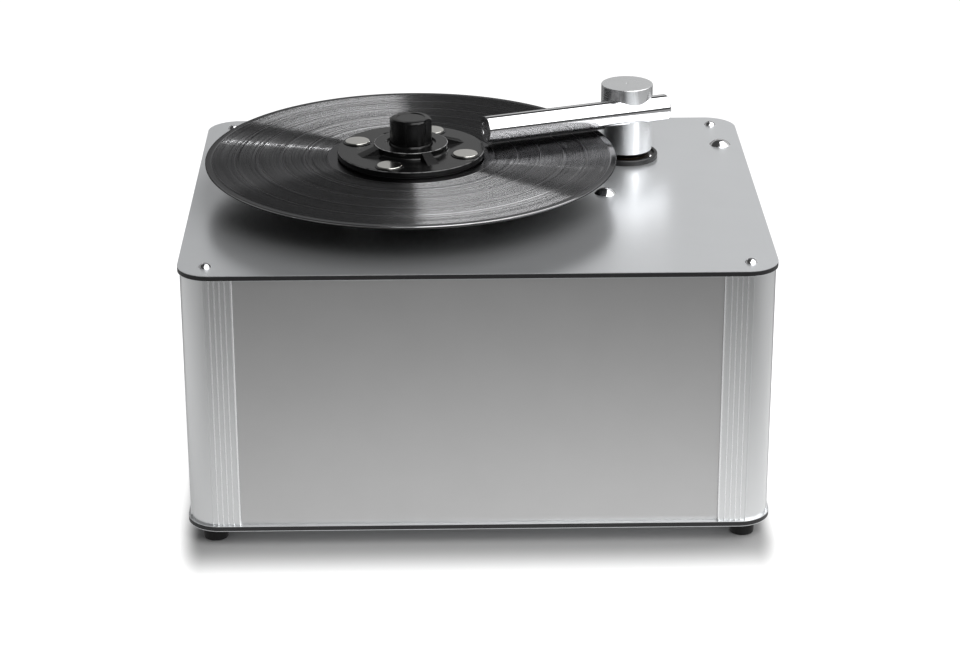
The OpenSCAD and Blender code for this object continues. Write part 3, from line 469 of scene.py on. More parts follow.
@dataclass(frozen=True)
class ClampFinish(Finish):
    """Black moulding with a painted highlight along its upper edges.

    Attributes:
        disc: CAD node of the disc, with the hub on it.
        base: CAD node that the disc lies on.
        disc_h: Height of the disc's top above that node.
        hub_r: Radius of the hub.
        band: Width of a painted edge highlight.
        edge_highlight: Colour of a painted edge highlight.
        rim_share: How strongly the disc's edge is painted light, against the hub's.
        patches: Patches per metre in which the painted edge highlight shows.
        patch: Noise at which a patch begins, and at which it is full.
    """

    disc: str = "clamp_disc"
    base: str = "record"
    disc_h: float = 5.4 * MM
    hub_r: float = 27.1 * MM
    band: float = 0.7 * MM
    edge_highlight: Colour = (0.22, 0.22, 0.22)
    rim_share: float = 0.4
    patches: float = 150.0
    patch: Point = (0.25, 0.6)

    def surface(self, graph: Graph) -> dict[str, Value]:
        """The moulding, with painted highlights along the edges round the hub and the disc.

        Args:
            graph: The material's node tree.

        Returns:
            A value for each shader socket that isn't the same all over.
        """
        values = super().surface(graph)
        box = Box.of(self.disc)
        x, y, z = graph.axis_values(graph.place(centre=(box.centre.x, box.centre.y, box.high.z)))
        radius = (x * x + y * y) ** 0.5
        hub = 1 - abs(radius - (self.hub_r - self.band / 2)).faded(self.band / 4, self.band / 2)
        hub = hub * z.faded(-self.band, -self.band / 2)
        rim_z = Box.of(self.base).high.z + self.disc_h - box.high.z
        rim = (radius - box.radius).faded(-self.band, -self.band / 3)
        rim = rim * (z - rim_z).faded(-self.band * 1.3, -self.band / 2)
        patch = graph.noise(graph.place(), self.patches).faded(*self.patch)
        # Painted highlight: the hub's and the disc's edges are coloured lighter, in patches.
        edge_glint = (hub + rim * self.rim_share) * patch
        values["Base Color"] = graph.tint(self.colour, self.edge_highlight, edge_glint)
        return values


@dataclass(frozen=True)
class VinylFinish(Finish):
    """A pressed record: each groove's walls lean inwards or outwards.

    Attributes:
        pitch: Distance between two shaded grooves.
        lean: Greatest slope of a groove's wall.
        inner: Radius where the grooves end.
        outer: Radius where the grooves begin.
        tracks: Number of tracks, with a plain ring between two of them.
        gap: Half width of a plain ring.
        plain: How much rougher a plain ring is.
        swells: Loud and quiet stretches per metre of radius.
        quiet: Share of the lean in a quiet stretch.
        swell: Share that a loud one adds.
        groove_rough: How much rougher the grooves are.
        swell_rough: How much rougher a loud stretch is.
        below: How bright the underside's colour is, against the top: painted shade on the
            underside.
    """

    pitch: float = 0.05 * MM
    lean: float = 0.9
    inner: float = 61 * MM
    outer: float = 146.3 * MM
    tracks: int = 5
    gap: float = 0.3 * MM
    plain: float = 0.2
    swells: float = 900.0
    quiet: float = 0.87
    swell: float = 0.25
    groove_rough: float = 0.05
    swell_rough: float = 0.04
    below: float = 0.2

    def surface(self, graph: Graph) -> dict[str, Value]:
        """Grooves that lean by chance, with plain rings, lead-in and run-out, and painted shade on
        the underside.

        Args:
            graph: The material's node tree.

        Returns:
            A value for each shader socket that isn't the same all over.
        """
        centre = Box.of("record").centre
        x, y, z = graph.axis_values(graph.place(centre=(centre.x, centre.y, 0)))
        radius = (x * x + y * y) ** 0.5
        groove = math.floor(radius / self.pitch)
        chance = graph.node("TexWhiteNoise", {"noise_dimensions": "1D"}, {"W": groove}) * 2 - 1
        step = (self.outer - self.inner) / self.tracks
        track = (radius - self.inner) / step
        ring = abs(track - math.floor(track + 0.5)) * step
        played = (radius > self.inner) * (radius < self.outer)
        plain = played * (ring < self.gap)
        grooved = played - plain
        loud = graph.rings(radius, self.swells)
        lean = chance * grooved * (loud * self.swell + self.quiet) * self.lean
        outwards = graph.vector("NORMALIZE", graph.node("CombineXYZ", {}, {0: x, 1: y}))
        scaled = graph.node("VectorMath", {"operation": "SCALE"}, {0: outwards, "Scale": lean})
        normal = graph.vector("ADD", graph.node("TexCoord", output="Normal"), scaled)
        world = {"vector_type": "NORMAL", "convert_from": "OBJECT", "convert_to": "WORLD"}
        turned = graph.node("VectorTransform", world, {0: graph.vector("NORMALIZE", normal)})
        rough = grooved * self.groove_rough + loud * self.swell_rough
        return {
            # Painted shade: the underside's colour is darker than the top's.
            "Base Color": graph.tint(shade(self.colour, self.below), self.colour, z > centre.z),
            "Roughness": rough + plain * self.plain + self.roughness,
            "Normal": turned,
        }


@dataclass(frozen=True)
class Box:
    """Lowest and highest corner of a CAD node, or of one solid in it."""

    low: Vector
    high: Vector

    @classmethod
    def of(cls, node: str) -> Box:
        """The box of a CAD node at rest."""
        return cls(*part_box(node))

    @property
    def centre(self) -> Vector:
        """The middle."""
        return (self.low + self.high) / 2

    @property
    def size(self) -> Vector:
        """Width, depth and height."""
        return self.high - self.low

    @property
    def radius(self) -> float:
        """Half the width, which is the radius of a round piece."""
        return self.size.x / 2

    def at(self, z: float) -> Matrix:
        """A move to the box's middle, at height z."""
        return moved(self.centre.x, self.centre.y, z)


def solids(node: str) -> list[Box]:
    """Finds the separate solids of a CAD node.

    Args:
        node: The node's name.

    Returns:
        The box of each solid, from left to right and then from front to back.
    """
    mesh = Shape.of_node(node).bm
    left = set(mesh.verts)
    boxes = []
    while left:
        fresh = [left.pop()]
        found = []
        while fresh:
            vert = fresh.pop()
            found.append(vert.co)
            near = {edge.other_vert(vert) for edge in vert.link_edges} & left
            left -= near
            fresh.extend(near)
        low = Vector(min(co[i] for co in found) for i in range(3))
        high = Vector(max(co[i] for co in found) for i in range(3))
        boxes.append(Box(low, high))
    return sorted(boxes, key=lambda box: [round(part / MM) for part in box.centre])


def moved(x: float, y: float, z: float) -> Matrix:
    """A move by x, y and z."""
    return Matrix.Translation((x, y, z))


def arc(centre: Point, radius: float, start: float, end: float, steps: int) -> list[Point]:
    """Points along an arc, both ends included.

    Args:
        centre: The arc's centre.
        radius: The arc's radius.
        start: First angle in degrees.
        end: Last angle in degrees.
        steps: Number of stretches.

    Returns:
        The points.
    """
    angles = [math.radians(start + (end - start) * i / steps) for i in range(steps + 1)]
    return [(centre[0] + radius * math.cos(a), centre[1] + radius * math.sin(a)) for a in angles]


def shoulder(corner: Point, radius: float, steps: int = 5) -> list[Point]:
    """A quarter round under an outer upper corner, from its side to its top."""
    return arc((corner[0] - radius, corner[1] - radius), radius, 0, 90, steps)


def circle(centre: Sequence[float], radius: float, steps: int = 64) -> list[Point]:
    """A round outline."""
    return arc((centre[0], centre[1]), radius, 0, 360, steps)[:-1]


def rectangle(low: Point, high: Point, radius: float = 0.0, steps: int = 24) -> list[Point]:
    """A rectangular outline with round corners.

    Args:
        low: Lowest corner.
        high: Highest corner.
        radius: Radius of the corners.
        steps: Stretches on each corner.

    Returns:
        The outline, anticlockwise.
    """
    if radius == 0:
        return [low, (high[0], low[1]), high, (low[0], high[1])]
    left, right = low[0] + radius, high[0] - radius
    front, back = low[1] + radius, high[1] - radius
    corners = [(right, front, 270), (right, back, 0), (left, back, 90), (left, front, 180)]
    return [p for x, y, a in corners for p in arc((x, y), radius, a, a + 90, steps)]


class Shape:
    """A mesh in the making."""

    def __init__(self) -> None:
        """Starts empty."""
        self.bm = bmesh.new()

    @classmethod
    def turned(cls, profile: Sequence[Point], steps: int = 96) -> Shape:
        """Spins a profile round the Z axis.

        Args:
            profile: Points of radius and height. It is closed, unless both ends are on the axis.
            steps: Faces round the axis.

        Returns:
            The turned shape.
        """
        shape = cls()
        verts = [shape.bm.verts.new((r, 0, z)) for r, z in profile]
        pairs = list(zip(verts, verts[1:]))
        if profile[0][0] > 0 or profile[-1][0] > 0:
            pairs.append((verts[-1], verts[0]))
        edges = [shape.bm.edges.new(pair) for pair in pairs]
        bmesh.ops.spin(
            shape.bm, geom=verts + edges, axis=(0, 0, 1), cent=(0, 0, 0),
            angle=2 * math.pi, steps=steps, use_merge=True,
        )
        return shape.merged()

    @classmethod
    def pressed(
        cls, outline: Sequence[Point], height: float, holes: Iterable[Sequence[Point]] = ()
    ) -> Shape:
        """Extrudes a flat outline upwards from z = 0.

        Args:
            outline: Outline of the piece.
            height: Height of the piece.
            holes: Outlines of what is cut out.

        Returns:
            The pressed shape.
        """
        shape = cls()
        edges = []
        for loop in (outline, *holes):
            verts = [shape.bm.verts.new((x, y, 0)) for x, y in loop]
            edges += [shape.bm.edges.new(pair) for pair in zip(verts, verts[1:] + verts[:1])]
        bmesh.ops.triangle_fill(shape.bm, use_beauty=True, edges=edges)
        grown = bmesh.ops.extrude_face_region(shape.bm, geom=shape.bm.faces[:])["geom"]
        risen = [item for item in grown if isinstance(item, bmesh.types.BMVert)]
        bmesh.ops.translate(shape.bm, vec=(0, 0, height), verts=risen)
        return shape.merged()

    @classmethod
    def block(cls, box: Box) -> Shape:
        """A block that fills a box.

        Args:
            box: The box.

        Returns:
            The block.
        """
        shape = cls()
        place = Matrix.Translation(box.centre) @ Matrix.Diagonal((*box.size, 1))
        bmesh.ops.create_cube(shape.bm, size=1, matrix=place)
        return shape

    @classmethod
    def of_node(cls, node: str) -> Shape:
        """A merged copy of a CAD node's mesh.

        Args:
            node: The node's name.

        Returns:
            The copy.
        """
        shape = cls()
        shape.bm.from_mesh(frame["nodes"][node].data)
        return shape.merged()

    @classmethod
    def eased(cls, node: str, edge: float, segments: int = 2, angle: float = 30.0) -> Shape:
        """A copy of a CAD node's mesh with rounded edges.

        Args:
            node: The node's name.
            edge: Width of the rounding.
            segments: Faces across the rounding.
            angle: Least angle of a sharp edge, in degrees.

        Returns:
            The copy.
        """
        return cls.of_node(node).flattened().softened(edge, segments, angle)

    def merged(self) -> Shape:
        """Merges doubles and turns the faces outwards.

        Returns:
            The shape itself.
        """
        bmesh.ops.remove_doubles(self.bm, verts=self.bm.verts, dist=WELD)
        bmesh.ops.recalc_face_normals(self.bm, faces=self.bm.faces)
        return self

    def flattened(self) -> Shape:
        """Joins triangles that lie in one plane, and points that lie on one line.

        Returns:
            The shape itself.
        """
        bmesh.ops.dissolve_limit(
            self.bm, angle_limit=math.radians(FLAT_ANGLE), verts=self.bm.verts, edges=self.bm.edges
        )
        return self

    def softened(self, width: float, segments: int = 2, angle: float = 30.0) -> Shape:
        """Rounds the sharp edges.

        Args:
            width: Width of the rounding.
            segments: Faces across the rounding.
            angle: Least angle of a sharp edge, in degrees.

        Returns:
            The shape itself.
        """
        least = math.radians(angle)
        sharp = [e for e in self.bm.edges if e.is_manifold and e.calc_face_angle() > least]
        bmesh.ops.bevel(
            self.bm, geom=sharp, offset=width, offset_type="OFFSET", segments=segments,
            affect="EDGES", profile=0.5, material=-1, clamp_overlap=True,
        )
        return self

    def drawn(self, factor: Sequence[float], low: float, high: float) -> Shape:
        """Scales the points between two heights about the Z axis.

        Args:
            factor: Factor along each axis.
            low: Lowest height.
            high: Greatest height.

        Returns:
            The shape itself.
        """
        chosen = [vert for vert in self.bm.verts if low <= vert.co.z <= high]
        bmesh.ops.scale(self.bm, vec=factor, verts=chosen)
        return self

    def placed(self, place: Matrix) -> Shape:
        """Moves, turns or mirrors the shape.

        Args:
            place: The transform.

        Returns:
            The shape itself.
        """
        bmesh.ops.transform(self.bm, matrix=place, verts=self.bm.verts)
        if place.determinant() < 0:
            bmesh.ops.reverse_faces(self.bm, faces=self.bm.faces)
        return self

    def copies(self, places: Iterable[Matrix]) -> Shape:
        """Repeats the shape.

        Args:
            places: Place of each copy.

        Returns:
            A new shape with all the copies.
        """
        mesh = bpy.data.meshes.new("copy")
        self.bm.to_mesh(mesh)
        group = Shape()
        for place in places:
            one = Shape()
            one.bm.from_mesh(mesh)
            group.add(one.placed(place))
        return group

    def add(self, *others: Shape) -> Shape:
        """Takes other shapes in, as they lie.

        Args:
            others: The other shapes.

        Returns:
            The shape itself.
        """
        for other in others:
            mesh = bpy.data.meshes.new("part")
            other.bm.to_mesh(mesh)
            self.bm.from_mesh(mesh)
        return self

    def stand_in(self, name: str) -> bpy.types.Object:
        """A scene object of the shape as it is.

        Args:
            name: The object's name.

        Returns:
            The object.
        """
        mesh = bpy.data.meshes.new(name)
        self.bm.to_mesh(mesh)
        made = bpy.data.objects.new(name, mesh)
        bpy.context.scene.collection.objects.link(made)
        return made

    def carved(self, tool: Shape, operation: str = "DIFFERENCE") -> Shape:
        """Combines the shape with another by a Boolean modifier, and applies it.

        Args:
            tool: The other shape.
            operation: DIFFERENCE or UNION.

        Returns:
            The shape itself.
        """
        body, other = self.stand_in("carved"), tool.stand_in("tool")
        cut = body.modifiers.new("cut", "BOOLEAN")
        cut.operation = operation
        cut.object = other
        cut.solver = "EXACT"
        done = body.evaluated_get(bpy.context.evaluated_depsgraph_get())
        mesh = bpy.data.meshes.new_from_object(done)
        self.bm.clear()
        self.bm.from_mesh(mesh)
        bpy.data.objects.remove(body)
        bpy.data.objects.remove(other)
        return self

    def piece(
        self, name: str, slot: Slot, body: Body, *replaced: str, angle: float = 32.0
    ) -> bpy.types.Object:
        """Finishes the shape as a piece of the object.

        Args:
            name: The piece's name.
            slot: Material slot, which also gives the finish.
            body: Body that the piece moves with.
            replaced: CAD nodes that the piece stands for.
            angle: Least angle of an edge that is shaded sharp, in degrees.

        Returns:
            The piece.
        """
        made = self.stand_in(name)
        made.data.shade_smooth()
        made.data.set_sharp_from_angle(angle=math.radians(angle))
        made.data.materials.append(FINISHES[slot].material(slot.value))
        if slot is not Slot.VINYL:
            flat = made.modifiers.new("flat_faces", "WEIGHTED_NORMAL")
            flat.keep_sharp = True
            flat.weight = FACE_WEIGHT
        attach(made, body.value)
        if replaced:
            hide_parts(*replaced)
        faces = len(made.data.polygons)
        LOG.info("%s: %d faces, on %s, slot %s", name, faces, body.value, slot.value)
        return made


FINISHES: dict[Slot, Finish] = {
    Slot.SKIN: Finish((0.74, 0.755, 0.77), 0.28, 0.84, (3000, 3000, 3000), 0.002 * MM, 0.04),
    Slot.CORE: Finish((0.012, 0.012, 0.013), 0.45),
    Slot.PROFILE: RibbedFinish((0.84, 0.85, 0.855), 0.28, 1.0, (5000, 5000, 60), 0.004 * MM, 0.05),
    Slot.PANEL: Finish((0.59, 0.59, 0.59), 0.34, 1.0, (60, 60, 4000), 0.002 * MM, 0.04),
    Slot.FOOT: Finish(
        (0.004, 0.004, 0.0042), 0.6, relief=0.03 * MM, constants=(("Specular IOR Level", 0.25),)
    ),
    Slot.SCREW: Finish((0.78, 0.78, 0.79), 0.14, 1.0, relief=0.004 * MM),
    Slot.STEEL: Finish((0.42, 0.42, 0.43), 0.3, 1.0),
    Slot.VINYL: VinylFinish(
        (0.31, 0.31, 0.315), 0.13, 1.0,
        constants=(
            ("Specular Tint", (0.2, 0.2, 0.2, 1.0)),
            ("Anisotropic", 0.9), ("Anisotropic Rotation", 0.25),
        ),
    ),
    Slot.LABEL: Finish((0.48, 0.45, 0.39), 0.75, relief=0.02 * MM),
    Slot.CLAMP: ClampFinish(
        (0.002, 0.002, 0.0021), 0.2, relief=0.003 * MM, constants=(("Specular IOR Level", 0.3),)
    ),
    Slot.MAGNET: Finish((0.58, 0.57, 0.54), 0.14, 1.0, relief=0.003 * MM),
    Slot.SEAL: Finish((0.01, 0.01, 0.011), 0.55),
    Slot.CAST: Finish((0.2, 0.2, 0.21), 0.4, 1.0, relief=0.03 * MM),
    # Sintered bronze is dark; this colour is darkened further still, as painted shade for the
    # flange that sits in shadow.
    Slot.BRONZE: Finish((0.045, 0.032, 0.02), 0.45, 1.0),
    Slot.ARM: TurnedFinish((0.82, 0.83, 0.84), 0.27, 1.0, relief=0.012 * MM, uneven=0.05),
    Slot.TUBE: Finish((0.8, 0.8, 0.81), 0.06, 1.0, relief=0.001 * MM, uneven=0.03),
    Slot.PLUG: Finish((0.75, 0.75, 0.76), 0.1, 1.0, relief=0.002 * MM),
    Slot.VELVET: Finish(
        (0.012, 0.012, 0.013), 0.9, relief=0.2 * MM, constants=(("Sheen Weight", 0.6),)
    ),
    Slot.RING: Finish((0.008, 0.008, 0.0085), 0.38),
    Slot.TANK: Finish((0.62, 0.64, 0.65), 0.35),
    Slot.HOUSING: Finish((0.12, 0.12, 0.13), 0.45),
    Slot.HOSE: Finish((0.02, 0.02, 0.021), 0.55),
    Slot.BOARD: Finish((0.02, 0.1, 0.045), 0.4),
    Slot.WIRE: Finish((0.04, 0.04, 0.045), 0.5),
    Slot.FITTING: Finish((0.016, 0.016, 0.017), 0.42, relief=0.02 * MM),
    Slot.ROCKER: Finish((0.02, 0.02, 0.021), 0.32),
    Slot.SPIGOT: Finish((0.62, 0.61, 0.58), 0.22, 1.0),
}


@dataclass(frozen=True)
class DomeScrew:
    """A dome-head screw, with a cross recess unless its head is plain.

    Attributes:
        head_r: Radius of the head.
        head_h: Height of the head.
        shank_r: Radius of the shank.
        length: Length of the shank.
        cross: Width of the cross recess, or 0 for none.
        slim: How many times a wing's half width goes into the cross's width.
        draft: Share of its width that the recess keeps at its floor.
        floor: Height of that floor, as a share of the head's.
    """

    head_r: float
    head_h: float
    shank_r: float
    length: float
    cross: float = 0.0
    slim: float = 7.0
    draft: float = 0.6
    floor: float = 0.1

    def shape(self) -> Shape:
        """The screw, pointing down, with its head's foot on z = 0.

        Returns:
            The screw.
        """
        ball = (self.head_r**2 + self.head_h**2) / (2 * self.head_h)
        edge = math.degrees(math.asin(self.head_r / ball))
        dome = arc((0, self.head_h - ball), ball, 90, 90 - edge, 12)
        shank = [(self.shank_r, 0), (self.shank_r, -self.length), (0, -self.length)]
        screw = Shape.turned([(0, self.head_h), *dome[1:], *shank], 48)
        if self.cross:
            half, wing = self.cross / 2, self.cross / self.slim
            arms = [(half, -wing), (half, wing), (wing, wing)]
            outline = [
                (x * math.cos(a) - y * math.sin(a), x * math.sin(a) + y * math.cos(a))
                for a in (0, math.pi / 2, math.pi, 3 * math.pi / 2)
                for x, y in arms
            ]
            recess = Shape.pressed(outline, self.head_h).drawn((self.draft, self.draft, 1), 0, 0)
            screw.carved(recess.placed(moved(0, 0, self.head_h * self.floor)))
        return screw


@dataclass(frozen=True)
class CornerProfile:
    """An extruded corner with ribs outside and a groove for a panel in each leg.

    Attributes:
        leg: Width of a leg.
        wall: Wall of the profile.
        bend: Outer radius of the corner.
        rib_first: First rib, from the outer corner.
        rib_pitch: Distance between two ribs.
        ribs: Number of ribs on a leg.
        rib_top: Half width of a rib's top.
        rib_foot: Half width of a rib's foot.
        rib_h: Height of a rib.
        rib_edge: Rounding of a rib's edges.
        lip_r: Outer rounding at the leg's end.
        groove: Depth of the panel's groove.
        groove_front: Groove's front wall, from the outer face.
        groove_back: Groove's back wall, from the outer face.
        back: Back of the groove's rear lip, from the outer face.
        boss_at: Axis of the screw boss, from the outer corner along both legs.
        boss_r: Radius of the screw boss.
        bore: Radius of the boss's bore.
    """

    leg: float = 36.9 * MM
    wall: float = 2.4 * MM
    bend: float = 21.5 * MM
    rib_first: float = 17.0 * MM
    rib_pitch: float = 3.65 * MM
    ribs: int = 5
    rib_top: float = 0.35 * MM
    rib_foot: float = 0.46 * MM
    rib_h: float = 0.55 * MM
    rib_edge: float = 0.15 * MM
    lip_r: float = 1.0 * MM
    groove: float = 7.0 * MM
    groove_front: float = 1.25 * MM
    groove_back: float = 4.05 * MM
    back: float = 5.55 * MM
    boss_at: Point = (17.5 * MM, 16.0 * MM)
    boss_r: float = 4.2 * MM
    bore: float = 2.05 * MM

    def face(self, along: float) -> float:
        """Depth of the outer face below the casing's face, at a distance along a leg."""
        short = max(0.0, self.bend - along)
        return self.bend - math.sqrt(self.bend**2 - short**2)

    def rib(self, along: float) -> list[Point]:
        """Four points of a rib, from its far side to its near side.

        Args:
            along: Place of the rib along the leg.

        Returns:
            The points.
        """
        top = self.face(along) - self.rib_h
        far, near = along + self.rib_foot, along - self.rib_foot
        crest = [(along + self.rib_top, top), (along - self.rib_top, top)]
        return [(far, self.face(far)), *crest, (near, self.face(near))]

    def outer(self) -> list[Point]:
        """The outside of one leg, from its end to the middle of the corner.

        Returns:
            The points.
        """
        turn = (self.leg - self.lip_r, self.lip_r - self.rib_h)
        lip_end = turn[0] - self.lip_r / 2
        points = arc(turn, self.lip_r, 0, -90, 6)
        points += [(lip_end, -self.rib_h), (lip_end - self.rib_h / 4, 0)]
        places = [self.rib_first + i * self.rib_pitch for i in reversed(range(self.ribs))]
        points += [point for along in places for point in self.rib(along)]
        reach = math.degrees(math.asin((self.bend - points[-1][0]) / self.bend))
        return points + arc((self.bend, self.bend), self.bend, 270 - reach, 225, 12)[1:]

    def inner(self) -> list[Point]:
        """The inside of one leg, from its end to the middle of the corner.

        Returns:
            The points.
        """
        depth = self.leg - self.groove
        hook = [
            (self.leg, self.groove_front), (depth, self.groove_front), (depth, self.groove_back),
            (self.leg, self.groove_back), (self.leg, self.back), (depth - self.wall, self.back),
            (depth - self.wall, self.wall),
        ]
        return hook + arc((self.bend, self.bend), self.bend - self.wall, 270, 225, 12)

    def shape(self, height: float) -> Shape:
        """The profile with its outer corner at the origin.

        Args:
            height: Length of the extrusion.

        Returns:
            The extruded profile.
        """
        outer, inner = self.outer(), self.inner()
        outline = outer + [(y, x) for x, y in reversed(outer[:-1])]
        outline += [(y, x) for x, y in inner] + inner[-2::-1]
        bore = circle(self.boss_at, self.bore)
        boss = Shape.pressed(circle(self.boss_at, self.boss_r), height, [bore])
        return Shape.pressed(outline, height).softened(self.rib_edge, angle=40).add(boss)


@dataclass(frozen=True)
class Casing:
    """Two sandwich plates with the corner profiles, panels, feet and screws between them.

    Attributes:
        corner_r: Radius of the plates' corners.
        overhang: How far the plates stand out past the walls.
        skin_t: Thickness of a plate's skin.
        skin_edge: Rounding of the skins' edges.
        screw_hole: Radius of the holes for the corner screws.
        bolt_hole: Radius of the holes for the tank bolts.
        bearing_hole: Radius of the hole for the bearing.
        arm_hole: Radius of the hole for the arm.
        corner: The corner profile.
        deck_screw: A screw of the deck.
        foot_screw: A screw of a foot.
        foot_sink: Depth of the sunk screw in a foot.
        foot_sink_r: Radius of that sinking.
        foot_taper: How much narrower a foot is at the floor.
        foot_round: Rounding of a foot at the floor.
        foot_edge: Bevel of a foot at its top.
        panel_edge: Rounding of the panels' edges.
        first_turn: How far the first screw's cross is turned, in degrees.
        next_turn: How much further each next one is turned.
    """

    corner_r: float = 23.5 * MM
    overhang: float = 2.0 * MM
    skin_t: float = 0.45 * MM
    skin_edge: float = 0.1 * MM
    screw_hole: float = 2.3 * MM
    bolt_hole: float = 3.3 * MM
    bearing_hole: float = 13.3 * MM
    arm_hole: float = 15.3 * MM
    corner: CornerProfile = CornerProfile()
    deck_screw: DomeScrew = DomeScrew(4.3 * MM, 2.7 * MM, 2 * MM, 18 * MM, 4.6 * MM)
    foot_screw: DomeScrew = DomeScrew(4.3 * MM, 2.6 * MM, 2 * MM, 25.8 * MM, 4.4 * MM)
    foot_sink: float = 4.2 * MM
    foot_sink_r: float = 5.2 * MM
    foot_taper: float = 0.3 * MM
    foot_round: float = 0.8 * MM
    foot_edge: float = 0.3 * MM
    panel_edge: float = 0.15 * MM
    first_turn: float = 20.0
    next_turn: float = 33.0

    def build(self) -> None:
        """Builds every piece of the casing."""
        corners = [circle(box.centre, self.screw_hole, 32) for box in solids("deck_screws")]
        bolts = [box for box in solids("tank_bolts") if box.size.z > BOLT_LEAST]
        deck = corners + [circle(box.centre, self.bolt_hole, 32) for box in bolts]
        deck.append(circle(Box.of("spindle").centre, self.bearing_hole))
        deck.append(circle(Box.of("arm_post").centre, self.arm_hole))
        self.plate("top_plate", deck)
        self.plate("bottom_plate", corners)
        self.profiles()
        self.panels()
        self.feet()
        self.screws()

    def plate(self, name: str, holes: list[list[Point]]) -> None:
        """Builds a plate, which is a black core between two thin skins.

        Args:
            name: The plate's name, as its nodes' names begin.
            holes: Outlines of the holes.
        """
        box = Box.of(name + "_skins")
        outline = rectangle(box.low, box.high, self.corner_r)
        core_t = box.size.z - 2 * self.skin_t
        skin = Shape.pressed(outline, self.skin_t, holes).softened(self.skin_edge)
        skins = skin.copies([moved(0, 0, box.low.z), moved(0, 0, box.high.z - self.skin_t)])
        skins.piece(name + "_sheets", Slot.SKIN, Body.CASE, name + "_skins")
        core = Shape.pressed(outline, core_t, holes).placed(moved(0, 0, box.low.z + self.skin_t))
        core.piece(name + "_board", Slot.CORE, Body.CASE, name + "_core")

    def profiles(self) -> None:
        """Builds the four corner profiles."""
        plate = Box.of("top_plate_skins")
        walls = Box.of("front_panel")
        for side, sx in (("left", -1), ("right", 1)):
            for end, sy in (("front", -1), ("rear", 1)):
                x = plate.centre.x + sx * (plate.size.x / 2 - self.overhang)
                y = plate.centre.y + sy * (plate.size.y / 2 - self.overhang)
                place = moved(x, y, walls.low.z) @ Matrix.Diagonal((-sx, -sy, 1, 1))
                profile = self.corner.shape(walls.size.z).placed(place)
                name = f"{end}_{side}"
                profile.piece("profile_" + name, Slot.PROFILE, Body.CASE, "corner_" + name)

    def panels(self) -> None:
        """Builds the four wall panels."""
        for side in ("front", "left", "right"):
            sheet = Shape.block(Box.of(side + "_panel")).softened(self.panel_edge)
            sheet.piece(side + "_sheet", Slot.PANEL, Body.CASE, side + "_panel")
        rear = Shape.eased("rear_panel", self.panel_edge)
        rear.piece("rear_sheet", Slot.PANEL, Body.CASE, "rear_panel")

    def feet(self) -> None:
        """Builds the four rubber feet."""
        boxes = solids("rubber_feet")
        top, rim = boxes[0].high.z, boxes[0].radius
        low = rim - self.foot_taper - self.foot_round
        tread = arc((low, self.foot_round), self.foot_round, 0, -90, 6)
        foot = Shape.turned([
            (self.screw_hole, top), (rim - self.foot_edge, top), (rim, top - self.foot_edge),
            *tread,
            (self.foot_sink_r, 0), (self.foot_sink_r, self.foot_sink),
            (self.screw_hole, self.foot_sink),
        ])
        feet = foot.copies(box.at(0) for box in boxes)
        feet.piece("feet", Slot.FOOT, Body.CASE, "rubber_feet")

    def screws(self) -> None:
        """Builds the screws of the deck and those of the feet."""
        deck = Box.of("top_plate_skins").high.z
        above, below = [], []
        flip = Matrix.Rotation(math.pi, 4, "X")
        for i, box in enumerate(solids("deck_screws")):
            turn = Matrix.Rotation(math.radians(self.first_turn + self.next_turn * i), 4, "Z")
            above.append(box.at(deck) @ turn)
            below.append(box.at(self.foot_sink) @ flip @ turn)
        top, bottom = self.deck_screw.shape(), self.foot_screw.shape()
        top.copies(above).piece("deck_dome_screws", Slot.SCREW, Body.CASE, "deck_screws")
        bottom.copies(below).piece("foot_dome_screws", Slot.STEEL, Body.CASE, "foot_screws")


